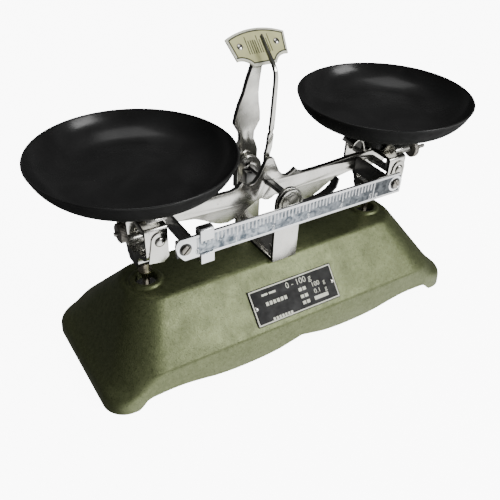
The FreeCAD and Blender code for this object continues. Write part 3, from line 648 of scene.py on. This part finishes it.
def flat_of(node, towards):
    """The middle, right, up and outward directions of a plate's face."""
    towards = Vector(towards).normalized()
    mesh = frame["nodes"][node].data
    best, area = None, {}
    for face in mesh.polygons:
        key = tuple(round(c, 2) for c in face.normal)
        if face.normal.dot(towards) > 0.8:
            area[key] = area.get(key, 0) + face.area
    best = Vector(max(area, key=area.get)).normalized()
    level = [f for f in mesh.polygons if f.normal.dot(best) > 0.9999]
    outward = sum((f.normal.copy() for f in level), Vector()).normalized()
    right = Vector((1, 0, 0))
    up = outward.cross(right).normalized()
    points = [mesh.vertices[i].co for f in level for i in f.vertices]
    spans = []
    for direction in (right, up, outward):
        along = [p.dot(direction) for p in points]
        spans.append((min(along), max(along)))
    middle = right * sum(spans[0]) / 2 + up * sum(spans[1]) / 2 + outward * spans[2][1]
    return middle, right, up, outward, spans


def board(middle, right, up, outward):
    """The matrix that lays a flat drawing on a plate."""
    return Matrix.Translation(middle) @ Matrix((right, up, outward)).transposed().to_4x4()


# ---- the casting

TOP = 46.8
SHOULDER = 18.8
OUTER_LEVELS = [(0.0, 121.0, 45.7, 13.0), (8.0, 120.2, 45.4, 14.5), (13.0, 115.0, 44.9, 17.5),
                (SHOULDER, 110.0, 44.3, 21.0), (TOP - 1.0, 91.2, 18.9, 16.2), (TOP, 89.4, 17.3, 15.5)]
INNER_LEVELS = [(0.0, 117.9, 42.5, 10.0), (8.0, 116.8, 42.2, 11.5), (13.0, 111.4, 41.7, 14.0),
                (SHOULDER - 1.2, 106.0, 40.5, 17.0), (TOP - 3.4, 87.4, 16.6, 12.5)]
SKIRT = [(0.0, 6.4), (9.0, 4.2), (16.0, 2.6), (26.0, 1.6), (37.0, 1.3), (48.0, 1.6), (58.0, 2.6),
         (69.0, 4.7),
         (80.0, 6.2), (92.0, 6.2), (100.0, 5.0), (104.0, 0.0)]
HOLE_X = 77.0
RIM_SHARE = 0.98
MIDDLE_SLOPE, FOOT_SLOPE = -0.26, -2.0
FOOT_RISE = 8.0
BOSS = [(11.2, TOP), (10.4, TOP), (9.9, TOP + 0.05), (9.55, TOP + 0.25), (9.2, TOP + 0.8),
        (8.95, TOP + 1.2),
        (8.6, TOP + 1.42), (8.1, TOP + 1.5), (7.2, TOP + 1.5), (6.7, TOP + 1.38), (6.35, TOP + 1.1),
        (6.2, TOP + 0.7)]


def eased_levels(levels, reach=1.8, steps=5, keeper=0.02):
    """Round the corners of a run of sections, and hold the flats flat between them."""
    points = [Vector(level) for level in levels]
    path = [points[0]]
    for before, here, after in zip(points, points[1:], points[2:]):
        into, out = (before - here), (after - here)
        r = min(reach, into.length * 0.42, out.length * 0.42)
        into, out = into / into.length, out / out.length
        a, b = here + into * r, here + out * r
        path.append(a + into * keeper)
        for k in range(steps + 1):
            t = k / steps
            path.append(a.lerp(here, t).lerp(here.lerp(b, t), t))
        path.append(b + out * keeper)
    return path + [points[-1]]


def flared_levels(levels, steps=5):
    """The foot and flare as one smooth sweep, then the corners of the slope and top, eased."""
    points = [Vector(level) for level in levels[:4]]
    padded = [points[0]] + points + [points[-1] + (points[-1] - points[-2])]
    sweep = []
    for before, a, b, after in zip(padded, padded[1:], padded[2:], padded[3:]):
        for k in range(steps):
            t = k / steps
            sweep.append(((2 * a) + (b - before) * t + (2 * before - 5 * a + 4 * b - after) * t**2
                          + (3 * a - before - 3 * b + after) * t**3) / 2)
    return sweep[:-2] + eased_levels([sweep[-2]] + [Vector(level) for level in levels[3:]])


def skirt_height(x):
    """How far the long sides stand clear of the table, scalloped between the feet."""
    x = abs(x)
    if x >= SKIRT[-1][0]:
        return 0.0
    i = max(k for k, (at, _) in enumerate(SKIRT) if at <= x)
    (x0, h0), (x1, h1) = SKIRT[i], SKIRT[i + 1]
    before = SKIRT[max(i - 1, 0)]
    after = SKIRT[min(i + 2, len(SKIRT) - 1)]
    s0 = (h1 - before[1]) / (x1 - before[0]) if i else MIDDLE_SLOPE
    s1 = (after[1] - h0) / (after[0] - x0) if i + 2 < len(SKIRT) else FOOT_SLOPE
    t, span = (x - x0) / (x1 - x0), x1 - x0
    return ((2 * t**3 - 3 * t**2 + 1) * h0 + (t**3 - 2 * t**2 + t) * span * s0
            + (3 * t**2 - 2 * t**3) * h1 + (t**3 - t**2) * span * s1)


def rounded_ring(level, long_steps=84, short_steps=12, corner_steps=10):
    """One level of the casting as points: a rectangle with round corners."""
    z, half_x, half_y, r = level
    flat = []
    corners = [(half_x - r, half_y - r, 0), (-half_x + r, half_y - r, 90),
               (-half_x + r, -half_y + r, 180), (half_x - r, -half_y + r, 270)]
    for n, (cx, cy, start) in enumerate(corners):
        flat += arc((cx, cy), r, start, start + 90, corner_steps)
        nx, ny, turn = corners[(n + 1) % 4]
        last = flat[-1]
        first = arc((nx, ny), r, turn, turn + 90, 1)[0]
        steps = long_steps if n % 2 == 0 else short_steps
        flat += [(last[0] + (first[0] - last[0]) * k / steps,
                  last[1] + (first[1] - last[1]) * k / steps)
                 for k in range(1, steps)]
    ring = []
    for x, y in flat:
        lift = skirt_height(x)
        height = lift + z * (FOOT_RISE - lift) / FOOT_RISE if z < FOOT_RISE else z
        ring.append(mm(x, y, height))
    return ring


def fill_round(shape, outer, holes):
    """Fill a level sheet between an outer ring and round holes."""
    verts = list(outer) + [v for hole in holes for v in hole]
    loops, start = [], 0
    for ring in [outer] + holes:
        n = len(ring)
        loops += [(start + k, start + (k + 1) % n) for k in range(n)]
        start += n
    flat = [Vector((v.co.x, v.co.y)) * 1000 for v in verts]
    _, _, faces, origins, _, _ = geometry.delaunay_2d_cdt(flat, loops, [], 1, 1e-4)
    centres = [sum((v.co for v in hole), Vector()) / len(hole) for hole in holes]
    reach = [(hole[0].co - centre).length for hole, centre in zip(holes, centres)]
    for face in faces:
        corners = [verts[origins[i][0]] for i in face]
        middle = sum((v.co for v in corners), Vector()) / 3
        if all((middle - c).length > r * RIM_SHARE for c, r in zip(centres, reach)):
            shape.faces.new(corners)


def bridge(shape, low, high):
    n = len(low)
    for k in range(n):
        shape.faces.new([low[k], low[(k + 1) % n], high[(k + 1) % n], high[k]])


def cast_base():
    """The hollow casting: scalloped skirt, flared feet, long slopes, a top with two bossed holes."""
    shape = bmesh.new()
    outer = [[shape.verts.new(p) for p in rounded_ring(level)] for level in flared_levels(OUTER_LEVELS)]
    inner = [[shape.verts.new(p) for p in rounded_ring(level)] for level in flared_levels(INNER_LEVELS)]
    for rings in (outer, inner):
        for low, high in zip(rings, rings[1:]):
            bridge(shape, low, high)
    bridge(shape, outer[0], inner[0])
    inside = {v for ring in inner for v in ring}
    top_holes, roof_holes = [], []
    for x in (-HOLE_X, HOLE_X):
        rings = []
        for radius, z in BOSS + [(6.2, TOP - 3.4)]:
            rings.append([shape.verts.new(mm(x + u, v, z)) for u,
                          v in arc((0, 0), radius, 0, 360, 56)[:-1]])
        for low, high in zip(rings, rings[1:]):
            bridge(shape, low, high)
        top_holes.append(rings[0])
        roof_holes.append(rings[-1])
    level = OUTER_LEVELS[-1]
    keeper = [shape.verts.new(p) for p in rounded_ring((TOP, level[1] - 0.6, level[2] - 0.6,
                                                        level[3] - 0.6))]
    bridge(shape, outer[-1], keeper)
    fill_round(shape, keeper, top_holes)
    fill_round(shape, inner[-1], roof_holes)
    inside.update(v for hole in roof_holes for v in hole)
    bmesh.ops.recalc_face_normals(shape, faces=shape.faces)
    # faces inside the hollow take the near-black second finish: painted shade
    for face in shape.faces:
        face.material_index = int(inside.issuperset(face.verts))
    mesh = mesh_of("casting", shape)
    smooth_by_angle(mesh, 50)
    casting = fit_out(new_piece("casting", mesh), "base", ["base_casting"])
    casting.data.materials.append(PAINT)
    casting.data.materials.append(HOLLOW_SHADE)
    return casting


# ---- pans

def through(a, b, c, steps):
    """Points along the arc that runs from a through b to c."""
    d = 2 * (a[0] * (b[1] - c[1]) + b[0] * (c[1] - a[1]) + c[0] * (a[1] - b[1]))
    q = [p[0] ** 2 + p[1] ** 2 for p in (a, b, c)]
    x = (q[0] * (b[1] - c[1]) + q[1] * (c[1] - a[1]) + q[2] * (a[1] - b[1])) / d
    y = (q[0] * (c[0] - b[0]) + q[1] * (a[0] - c[0]) + q[2] * (b[0] - a[0])) / d
    start, end = (math.degrees(math.atan2(p[1] - y, p[0] - x)) for p in (a, c))
    return arc((x, y), math.dist(a, (x, y)), start, end, steps)


def pressed_pan(side, x):
    """A dished pan with a flat floor, a rounded wall and a small rolled lip."""
    low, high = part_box(side + "_pan")
    rim, floor, radius = high.z / MM, low.z / MM + 0.8, (high.x - low.x) / 2 / MM
    inside = [(0, floor), (8, floor), (18, floor), (28.5, floor), (30.2, floor + 0.05)]
    inside += through((31.4, floor + 0.15), (42.0, floor + 3.6), (radius - 1.15, rim - 0.6), 14)
    lip = arc((radius - 0.65, rim - 0.55), 0.55, 170, -60, 9)
    outside = through((radius - 0.9, rim - 2.2), (43.2, floor + 2.6), (31.2, floor - 0.7), 14)
    outside += [(29.8, floor - 0.8), (18, floor - 0.8), (8, floor - 0.8), (0, floor - 0.8)]
    dish = turned(side + "_black_pan", inside + lip + outside, mm(x, 0, 0), side + "_tray",
                  ENAMEL, [side + "_pan"], turns=128, closed=False)
    dish.data.materials.append(UNDERSIDE)
    # faces that look downward take the darker black: painted shade under the pan
    for face in dish.data.polygons:
        face.material_index = 1 if face.normal.z < -0.1 else 0
    return dish


# ---- printed and engraved marks

FRONT_UP = (0, -0.7, 0.7)

def lettering(lines):
    """Small plain characters as flat raised meshes: (text, height, x, y) in mm on the board."""
    shape = bmesh.new()
    for text, height, x, y in lines:
        curve = bpy.data.curves.new("letters", "FONT")
        curve.body = text
        curve.size = height * MM
        curve.extrude = 0.03 * MM
        curve.align_x = "CENTER"
        curve.align_y = "CENTER"
        curve.resolution_u = 3
        obj = new_piece("letters", curve)
        graph = bpy.context.evaluated_depsgraph_get()
        mesh = bpy.data.meshes.new_from_object(obj.evaluated_get(graph))
        mesh.transform(Matrix.Translation(mm(x, y, 0.03)))
        shape.from_mesh(mesh)
        bpy.data.objects.remove(obj)
        bpy.data.meshes.remove(mesh)
    bmesh.ops.remove_doubles(shape, verts=shape.verts, dist=1e-7)
    return shape


def slab(shape, flat, proud):
    """Add one thin closed plate to a drawing, from its outline once round."""
    low = [shape.verts.new((x, y, -SUNK * MM)) for x, y in flat]
    high = [shape.verts.new((x, y, proud * MM)) for x, y in flat]
    bridge(shape, low, high)
    shape.faces.new(low[::-1])
    shape.faces.new(high)


def strip_of(shape, x0, y0, x1, y1, proud=0.06):
    """Add one plain ruled block to a drawing."""
    slab(shape, [(x * MM, y * MM) for x, y in ((x0, y0), (x1, y0), (x1, y1), (x0, y1))], proud)


def disc_of(shape, x, y, radius, proud):
    """Add one flat round spot to a drawing."""
    slab(shape, [(u * MM, v * MM) for u, v in arc((x, y), radius, 0, 360, 40)[:-1]], proud)


def laid(name, shape, where, body, material):
    """A finished drawing laid on its board."""
    mesh = mesh_of(name, shape)
    mesh.transform(where)
    return fit_out(new_piece(name, mesh), body, (), material)


def outline_of(node, towards):
    """A plate's outline as points on its own board, once round."""
    middle, right, up, outward, _ = flat_of(node, towards)
    shape = bmesh.new()
    shape.from_mesh(frame["nodes"][node].data)
    bmesh.ops.remove_doubles(shape, verts=shape.verts, dist=MERGE)
    shape.normal_update()
    front = {f for f in shape.faces if f.normal.dot(outward) > 0.999}
    rim = [e for e in shape.edges if len(front.intersection(e.link_faces)) == 1]
    loop = [rim[0].verts[0], rim[0].verts[1]]
    left = set(rim[1:])
    while left:
        step = next((e for e in left if loop[-1] in e.verts), None)
        if step is None:
            break
        left.remove(step)
        loop.append(step.other_vert(loop[-1]))
    flat = [Vector(((v.co - middle).dot(right), (v.co - middle).dot(up))) for v in loop[:-1]]
    shape.free()
    area = sum(a.x * b.y - b.x * a.y for a, b in zip(flat, flat[1:] + flat[:1]))
    return flat if area > 0 else flat[::-1]


def drawn_in(flat, inset):
    """An outline drawn in by an even margin, in mm."""
    points = []
    for before, here, after in zip(flat[-1:] + flat[:-1], flat, flat[1:] + flat[:1]):
        a, b = (here - before).normalized(), (after - here).normalized()
        inward = (Vector((-a.y, a.x)) + Vector((-b.y, b.x)))
        reach = inset * MM * 2 / max(inward.length_squared, 1.0)
        points.append(here + inward * reach)
    return points


def ruled_border(node, towards, inset, width, proud=0.06):
    """A fine raised line that follows a plate's outline a little way in."""
    flat = outline_of(node, towards)
    shape = bmesh.new()
    rings = []
    outer, inner = inset, inset + width
    for margin, height in ((outer, -SUNK), (outer, proud), (inner, proud), (inner, -SUNK)):
        rings.append([shape.verts.new((p.x, p.y, height * MM)) for p in drawn_in(flat, margin)])
    for low, high in zip(rings, rings[1:] + rings[:1]):
        bridge(shape, low, high)
    bmesh.ops.recalc_face_normals(shape, faces=shape.faces)
    return shape


def printed_panel(node, towards, inset, proud=0.03):
    """The enamelled field inside a plate's border."""
    shape = bmesh.new()
    slab(shape, drawn_in(outline_of(node, towards), inset), proud)
    return shape


def mark_dial():
    """The dial's cream field, its dark border and eleven lines, the ends and middle taller."""
    middle, right, up, outward, spans = flat_of("dial_plate", FRONT_UP)
    where = board(middle, right, up, outward)
    rim, border = 1.2, 0.65
    field = printed_panel("dial_plate", FRONT_UP, rim)
    laid("dial_field", field, where, "base", CREAM)
    edge = ruled_border("dial_plate", FRONT_UP, rim, border)
    laid("dial_border", edge, where, "base", DIAL_INK)
    pitch, short, tall, rise = 1.3, 7.0, 9.2, 6.0
    foot = middle + up * (spans[1][0] - middle.dot(up)) + up * rise * MM
    foot += right * 5 * pitch * MM + outward * 0.03 * MM
    sizes = {"mark count": 11, "long every": 5, "mid every": 1, "pitch": pitch * MM,
             "short": short * MM, "mid": short * MM, "long": tall * MM, "line": 0.42 * MM,
             "proud": 0.05 * MM, "finish": DIAL_INK}
    obj = MARKS.make("dial_lines", sizes, [(0, 0, 0)], [(0, 0, 1)])
    obj.data.transform(board(foot, -right, -up, outward))
    fit_out(obj, "base")


def mark_bar():
    """The bar's etched ground, its fifty divisions and its numerals, and a ring round each screw with a
    black disc inside it as painted shade in the screw's recess.
    """
    low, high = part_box("scale_bar")
    zero, gram, margin = -60.2, 22.28, 1.5
    screw_x, screw_z = 67.0, 82.2
    foot, head, right = low.z / MM, high.z / MM, high.x / MM
    where = board(Vector((0, low.y, 0)), Vector((1, 0, 0)), Vector((0, 0, 1)), Vector((0, -1, 0)))
    ground = bmesh.new()
    strip_of(ground, zero - 0.7, foot + margin, right - 1.6, head - margin, 0.04)
    laid("bar_etched_ground", ground, where, "beam", BAR_GROUND)
    sizes = {"mark count": 51, "long every": 10, "mid every": 5, "pitch": gram / 10 * MM,
             "short": 4.0 * MM, "mid": 4.9 * MM, "long": 5.4 * MM, "line": 0.85 * MM,
             "proud": 0.07 * MM, "finish": MARK_WHITE}
    obj = MARKS.make("bar_graduations", sizes, [(0, 0, 0)], [(0, 0, 1)])
    obj.data.transform(where @ Matrix.Translation(mm(zero, head - margin, 0)))
    fit_out(obj, "beam")
    numerals = [(str(n), 4.6, zero + n * gram - 0.5, foot + 3.2) for n in range(5)]
    numerals += [("5", 4.6, zero + 5 * gram - 2.1, foot + 3.4),
                 ("g", 4.6, zero + 5 * gram + 2.4, foot + 3.4)]
    letters = lettering(numerals)
    strip_of(letters, zero + 5 * gram - 0.3, foot + margin, zero + 5 * gram + 0.3, head - 4.0)
    for v in letters.verts:
        v.co.z += 0.03 * MM
    laid("bar_numerals", letters, where, "beam", MARK_WHITE)
    # the black disc inside each ring is painted shade where the screw sits in its recess
    for name, radius, proud, finish in (("bar_rings", 4.6, 0.07, BAR_METAL),
                                        ("bar_ring_gap_shade", 3.4, 0.10, BLACKED)):
        rings = bmesh.new()
        for x in (-screw_x, screw_x):
            disc_of(rings, x, screw_z, radius, proud)
        laid(name, rings, where, "beam", finish)


def mark_label():
    """The black label: a cream border, plain figures and ruled boxes."""
    middle, right, up, outward, _ = flat_of("name_plate", FRONT_UP)
    where = board(middle, right, up, outward)
    laid("label_border", ruled_border("name_plate", FRONT_UP, 0.5, 0.75), where, "base",
         LABEL_CREAM)
    drawing = lettering([("0 - 100 g", 5.0, 4.5, 6.6), ("100", 4.0, 15.0, 1.9), ("g", 3.6, 21.0, 1.6),
                         ("0.1", 4.0, 15.0, -2.3), ("g", 3.6, 21.0, -2.6)])
    for x0, x1, y in ((-21.0, -17.0, 5.6), (-16.0, -11.5, 5.6)):
        strip_of(drawing, x0, y, x1, y + 1.2)
    for k in range(6):
        strip_of(drawing, -20.0 + 2.5 * k, -0.4, -18.2 + 2.5 * k, 1.8)
    for row, wide in ((1.4, 2.2), (-2.8, 2.2), (-6.6, 2.2)):
        for k in range(2):
            strip_of(drawing, 3.0 + 2.9 * k, row - 0.6, 3.0 + 2.9 * k + wide, row + 1.4)
    strip_of(drawing, 11.5, -7.2, 21.5, -5.0)
    for k in range(7):
        strip_of(drawing, -18.5 + 2.0 * k, -9.4, -17.1 + 2.0 * k, -7.8)
    laid("label_figures", drawing, where, "base", LABEL_CREAM)


# ---- building it

def build():
    cast_base()
    for side, x in (("left", -HOLE_X), ("right", HOLE_X)):
        pressed_pan(side, x)
        hanger = side + "_hanger"
        hoop = eased(side + "_hoop", side + "_stirrup", hanger, POLISHED, 0.45, 3)
        dull_edges(hoop, (0,), SHEARED_AND_SHADED)
        eased(side + "_seats", side + "_knife_seats", hanger, GROUND, 0.15)
        cheeks = eased(side + "_cheeks", side + "_cheek_covers", hanger, PLATED, 0.25)
        dull_edges(cheeks, (0, 2), SHEARED_AND_SHADED)
        eased(side + "_rod", side + "_stem", hanger, BRASSY, 0.3)
        eased(side + "_cross", side + "_pan_carrier", hanger, POLISHED, 0.3)
        eased(side + "_ring", side + "_pan_ring", side + "_tray", BLACKED, 0.2)
        eased(side + "_knife_bar", side + "_knife", "beam", GROUND, 0.12)
        eased(side + "_angle", side + "_bar_bracket", "beam", BLACKED, 0.2)
        put_in_rivets(side + "_cover_buttons", side + "_cover_rivets", [(0, -1, 0), (0, 1, 0)], hanger,
                      PLATED)
        put_in_rivets(side + "_cross_button", side + "_carrier_rivet", [(0, 0, 1)], hanger,
                      PLATED)
        frame["nodes"][side + "_stay_pin"].data.materials.clear()
        frame["nodes"][side + "_stay_pin"].data.materials.append(ZINC)
        low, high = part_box(side + "_balance_nut")
        outward = (1, 0, 0) if side == "right" else (-1, 0, 0)
        eased(side + "_nut_body", side + "_balance_nut", side + "_nut", NUT_STEEL, 0.3)
        sizes = {"ridge count": 44, "radius": (high.z - low.z) / 2 - 0.02 * MM,
                 "width": (high.x - low.x) * 0.72,
                 "ridge": 0.22 * MM, "finish": NUT_STEEL}
        fit_out(KNURLS.make(side + "_nut_knurl", sizes, [(low + high) / 2], [outward]), side + "_nut")
        low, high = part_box(side + "_stud")
        start = Vector((low.x if side == "right" else high.x, 0, (low.z + high.z) / 2))
        length, crest = high.x - low.x, (high.z - low.z) / 2
        sizes = {"core": crest - 0.24 * MM, "turn count": round(length / MM / 0.8), "length": length,
                 "depth": 0.20 * MM, "finish": ZINC}
        thread = THREADS.make(side + "_thread", sizes, [start], [outward])
        fit_out(thread, "beam", [side + "_stud"])
    dull_edges(eased("bracket", "column_bracket", "base", PLATED, 0.3, 3), (0,),
               SHEARED_AND_SHADED)
    for end in ("front", "rear"):
        eased(end + "_seat", end + "_bearing", "base", GROUND, 0.15)
        cover = eased(end + "_cover", end + "_bearing_cover", "base", PLATED, 0.16)
        dull_edges(cover, (0, 2), SHEARED_AND_SHADED)
    dull_edges(eased("beam_blade", "beam_plate", "beam", POLISHED, 0.3, 2), (0, 2),
               SHEARED_AND_SHADED)
    eased("centre_knife_bar", "centre_knife", "beam", BLACKED, 0.12)
    blade = dull_edges(eased("pointer_blade", "pointer", "beam", PLATED, 0.2, 3),
                       (0,), SHEARED_AND_SHADED)
    dull_edges(blade, (2,), SHEARED_AND_SHADED, 0.6)
    dull_edges(eased("post", "dial_post", "base", PLATED, 0.25, 3), (0,), SHEARED_AND_SHADED)
    eased("dial", "dial_plate", "base", LABEL_CREAM, 0.2)
    eased("bar", "scale_bar", "beam", BAR_METAL, 0.2)
    eased("rider_clip", "rider", "sliding_rider", BAR_METAL, 0.3, 3)
    eased("strap", "counterpoise_strap", "beam", BLACKED, 0.2)
    eased("label", "name_plate", "base", LABEL_BLACK, 0.15)
    eased("stay", "stay_link", "stay", ZINC, 0.25)
    eased("stay_hanger", "stay_bracket", "base", ZINC, 0.25)
    eased("stay_spindle", "stay_axle", "base", ZINC, 0.2)
    put_in_screws("bracket_screws", "column_screws", (0, 0, 1), "base", ZINC, 0.8)
    put_in_screws("post_screws", "dial_post_screws", (0, 1, 0), "base", ZINC, 0.7)
    put_in_screws("bar_fixings", "bar_screws", (0, -1, 0), "beam", NUT_STEEL, 0.9,
                  (0.75, 2.2))
    put_in_screws("stay_screws", "stay_bracket_screws", (0, 0, -1), "base", ZINC, 0.7)
    dial_out = tuple(flat_of("dial_plate", FRONT_UP)[3])
    label_out = tuple(flat_of("name_plate", FRONT_UP)[3])
    put_in_rivets("dial_buttons", "dial_rivets", [dial_out], "base", PLATED)
    put_in_rivets("label_buttons", "name_plate_rivets", [label_out], "base", PLATED)
    put_in_rivets("pointer_buttons", "pointer_rivets", [(0, 1, 0)], "beam", PLATED)
    mark_dial()
    mark_bar()
    mark_label()


# ---- studio

# the painted-shade sheet under the casting: half length, half width, corner radius and height, in mm
SHADE_SHEET = (112.0, 36.5, 6.0, 0.2)


def floor():
    """A plain pale table, evenly lit from within, that throws no light of its own on the balance."""
    shape = bmesh.new()
    bmesh.ops.create_circle(shape, cap_ends=True, segments=96, radius=4.0)
    mesh = mesh_of("table", shape)
    f = Finish("pale_table")
    f.colour(f.ramp(f.cloud(3, detail=2), (0.3, 0.86), (0.7, 0.90)))
    f.set(Roughness=0.75, Emission_Color=(1, 1, 1, 1), Emission_Strength=9.0)
    mesh.materials.append(f.material)
    table = new_piece("table", mesh)
    table.visible_diffuse = False
    table.visible_glossy = False
    table.visible_shadow = False


def shade():
    """A dark sheet laid under the casting: painted shade that also blocks light from below, so its
    hollow stays dark.
    """
    shape = bmesh.new()
    half_x, half_y, corner, height = SHADE_SHEET
    ring = rounded_ring((FOOT_RISE, half_x, half_y, corner), 4, 2, 6)
    shape.faces.new([shape.verts.new((p.x, p.y, height * MM)) for p in ring])
    mesh = mesh_of("shade_sheet", shape)
    mesh.materials.append(HOLLOW_SHADE)
    new_piece("shade_sheet", mesh)


def soft_light(name, at, aim, size, power, shade=(1, 1, 1)):
    light = bpy.data.lights.new(name, "AREA")
    light.shape = "RECTANGLE"
    light.size, light.size_y = size
    light.energy = power
    light.color = shade
    obj = new_piece(name, light)
    obj.location = at
    obj.rotation_euler = (Vector(aim) - Vector(at)).to_track_quat("-Z", "Y").to_euler()


BENCH = (0.36, -0.66, -0.66)


def surroundings():
    """A dim room with a white bench low in front, as polished metal shows it."""
    world = bpy.data.worlds.new("room")
    bpy.context.scene.world = world
    world.use_nodes = True
    tree = world.node_tree
    where = tree.nodes.new("ShaderNodeTexCoord")
    parts = tree.nodes.new("ShaderNodeSeparateXYZ")
    ramp = tree.nodes.new("ShaderNodeValToRGB")
    tree.links.new(where.outputs["Generated"], parts.inputs[0])
    tree.links.new(parts.outputs[2], ramp.inputs["Fac"])
    band = ramp.color_ramp
    for place, grey in ((0.12, 0.16), (0.35, 0.06), (0.80, 0.10)):
        band.elements.new(place).color = (grey, grey, grey, 1)
    band.elements[0].color = (0.12, 0.12, 0.12, 1)
    band.elements[-1].color = (0.6, 0.6, 0.6, 1)
    bench = tree.nodes.new("ShaderNodeVectorMath")
    bench.operation = "DOT_PRODUCT"
    bench.inputs[1].default_value = BENCH
    tree.links.new(where.outputs["Generated"], bench.inputs[0])
    spread = tree.nodes.new("ShaderNodeMapRange")
    for name, value in (("From Min", 0.45), ("From Max", 0.92), ("To Min", 0.0), ("To Max", 2.4)):
        spread.inputs[name].default_value = value
    tree.links.new(bench.outputs["Value"], spread.inputs["Value"])
    both = tree.nodes.new("ShaderNodeVectorMath")
    both.operation = "ADD"
    tree.links.new(ramp.outputs["Color"], both.inputs[0])
    tree.links.new(spread.outputs["Result"], both.inputs[1])
    background = tree.nodes["Background"]
    tree.links.new(both.outputs["Vector"], background.inputs["Color"])
    background.inputs["Strength"].default_value = 1.0


def camera():
    """Front left and well above, as the balance is usually looked at."""
    yaw, pitch, roll = math.radians(-32.9), math.radians(-42.35), math.radians(2.23)
    ahead = Vector((math.cos(pitch) * math.sin(-yaw), math.cos(pitch) * math.cos(yaw), math.sin(pitch)))
    right = Vector((math.cos(yaw), math.sin(yaw), 0))
    up = right.cross(ahead)
    right, up = (math.cos(roll) * right + math.sin(roll) * up,
                 -math.sin(roll) * right + math.cos(roll) * up)
    data = bpy.data.cameras.new("camera")
    data.sensor_width = 36
    data.lens = 42.6
    data.shift_x = 0.006
    data.shift_y = 0.145
    data.clip_start = 0.01
    obj = new_piece("camera", data)
    obj.matrix_world = board(mm(-167.82, -243.8, 249.16), right, up, -ahead)
    bpy.context.scene.camera = obj


build()
floor()
shade()
surroundings()
soft_light("overhead", at=(0.0, 0.0, 1.7), aim=(0, 0, 0.05), size=(0.9, 0.9), power=7)
soft_light("window", at=(0.55, -0.90, 0.80), aim=(0, 0, 0.08), size=(0.55, 0.40), power=11)
camera()
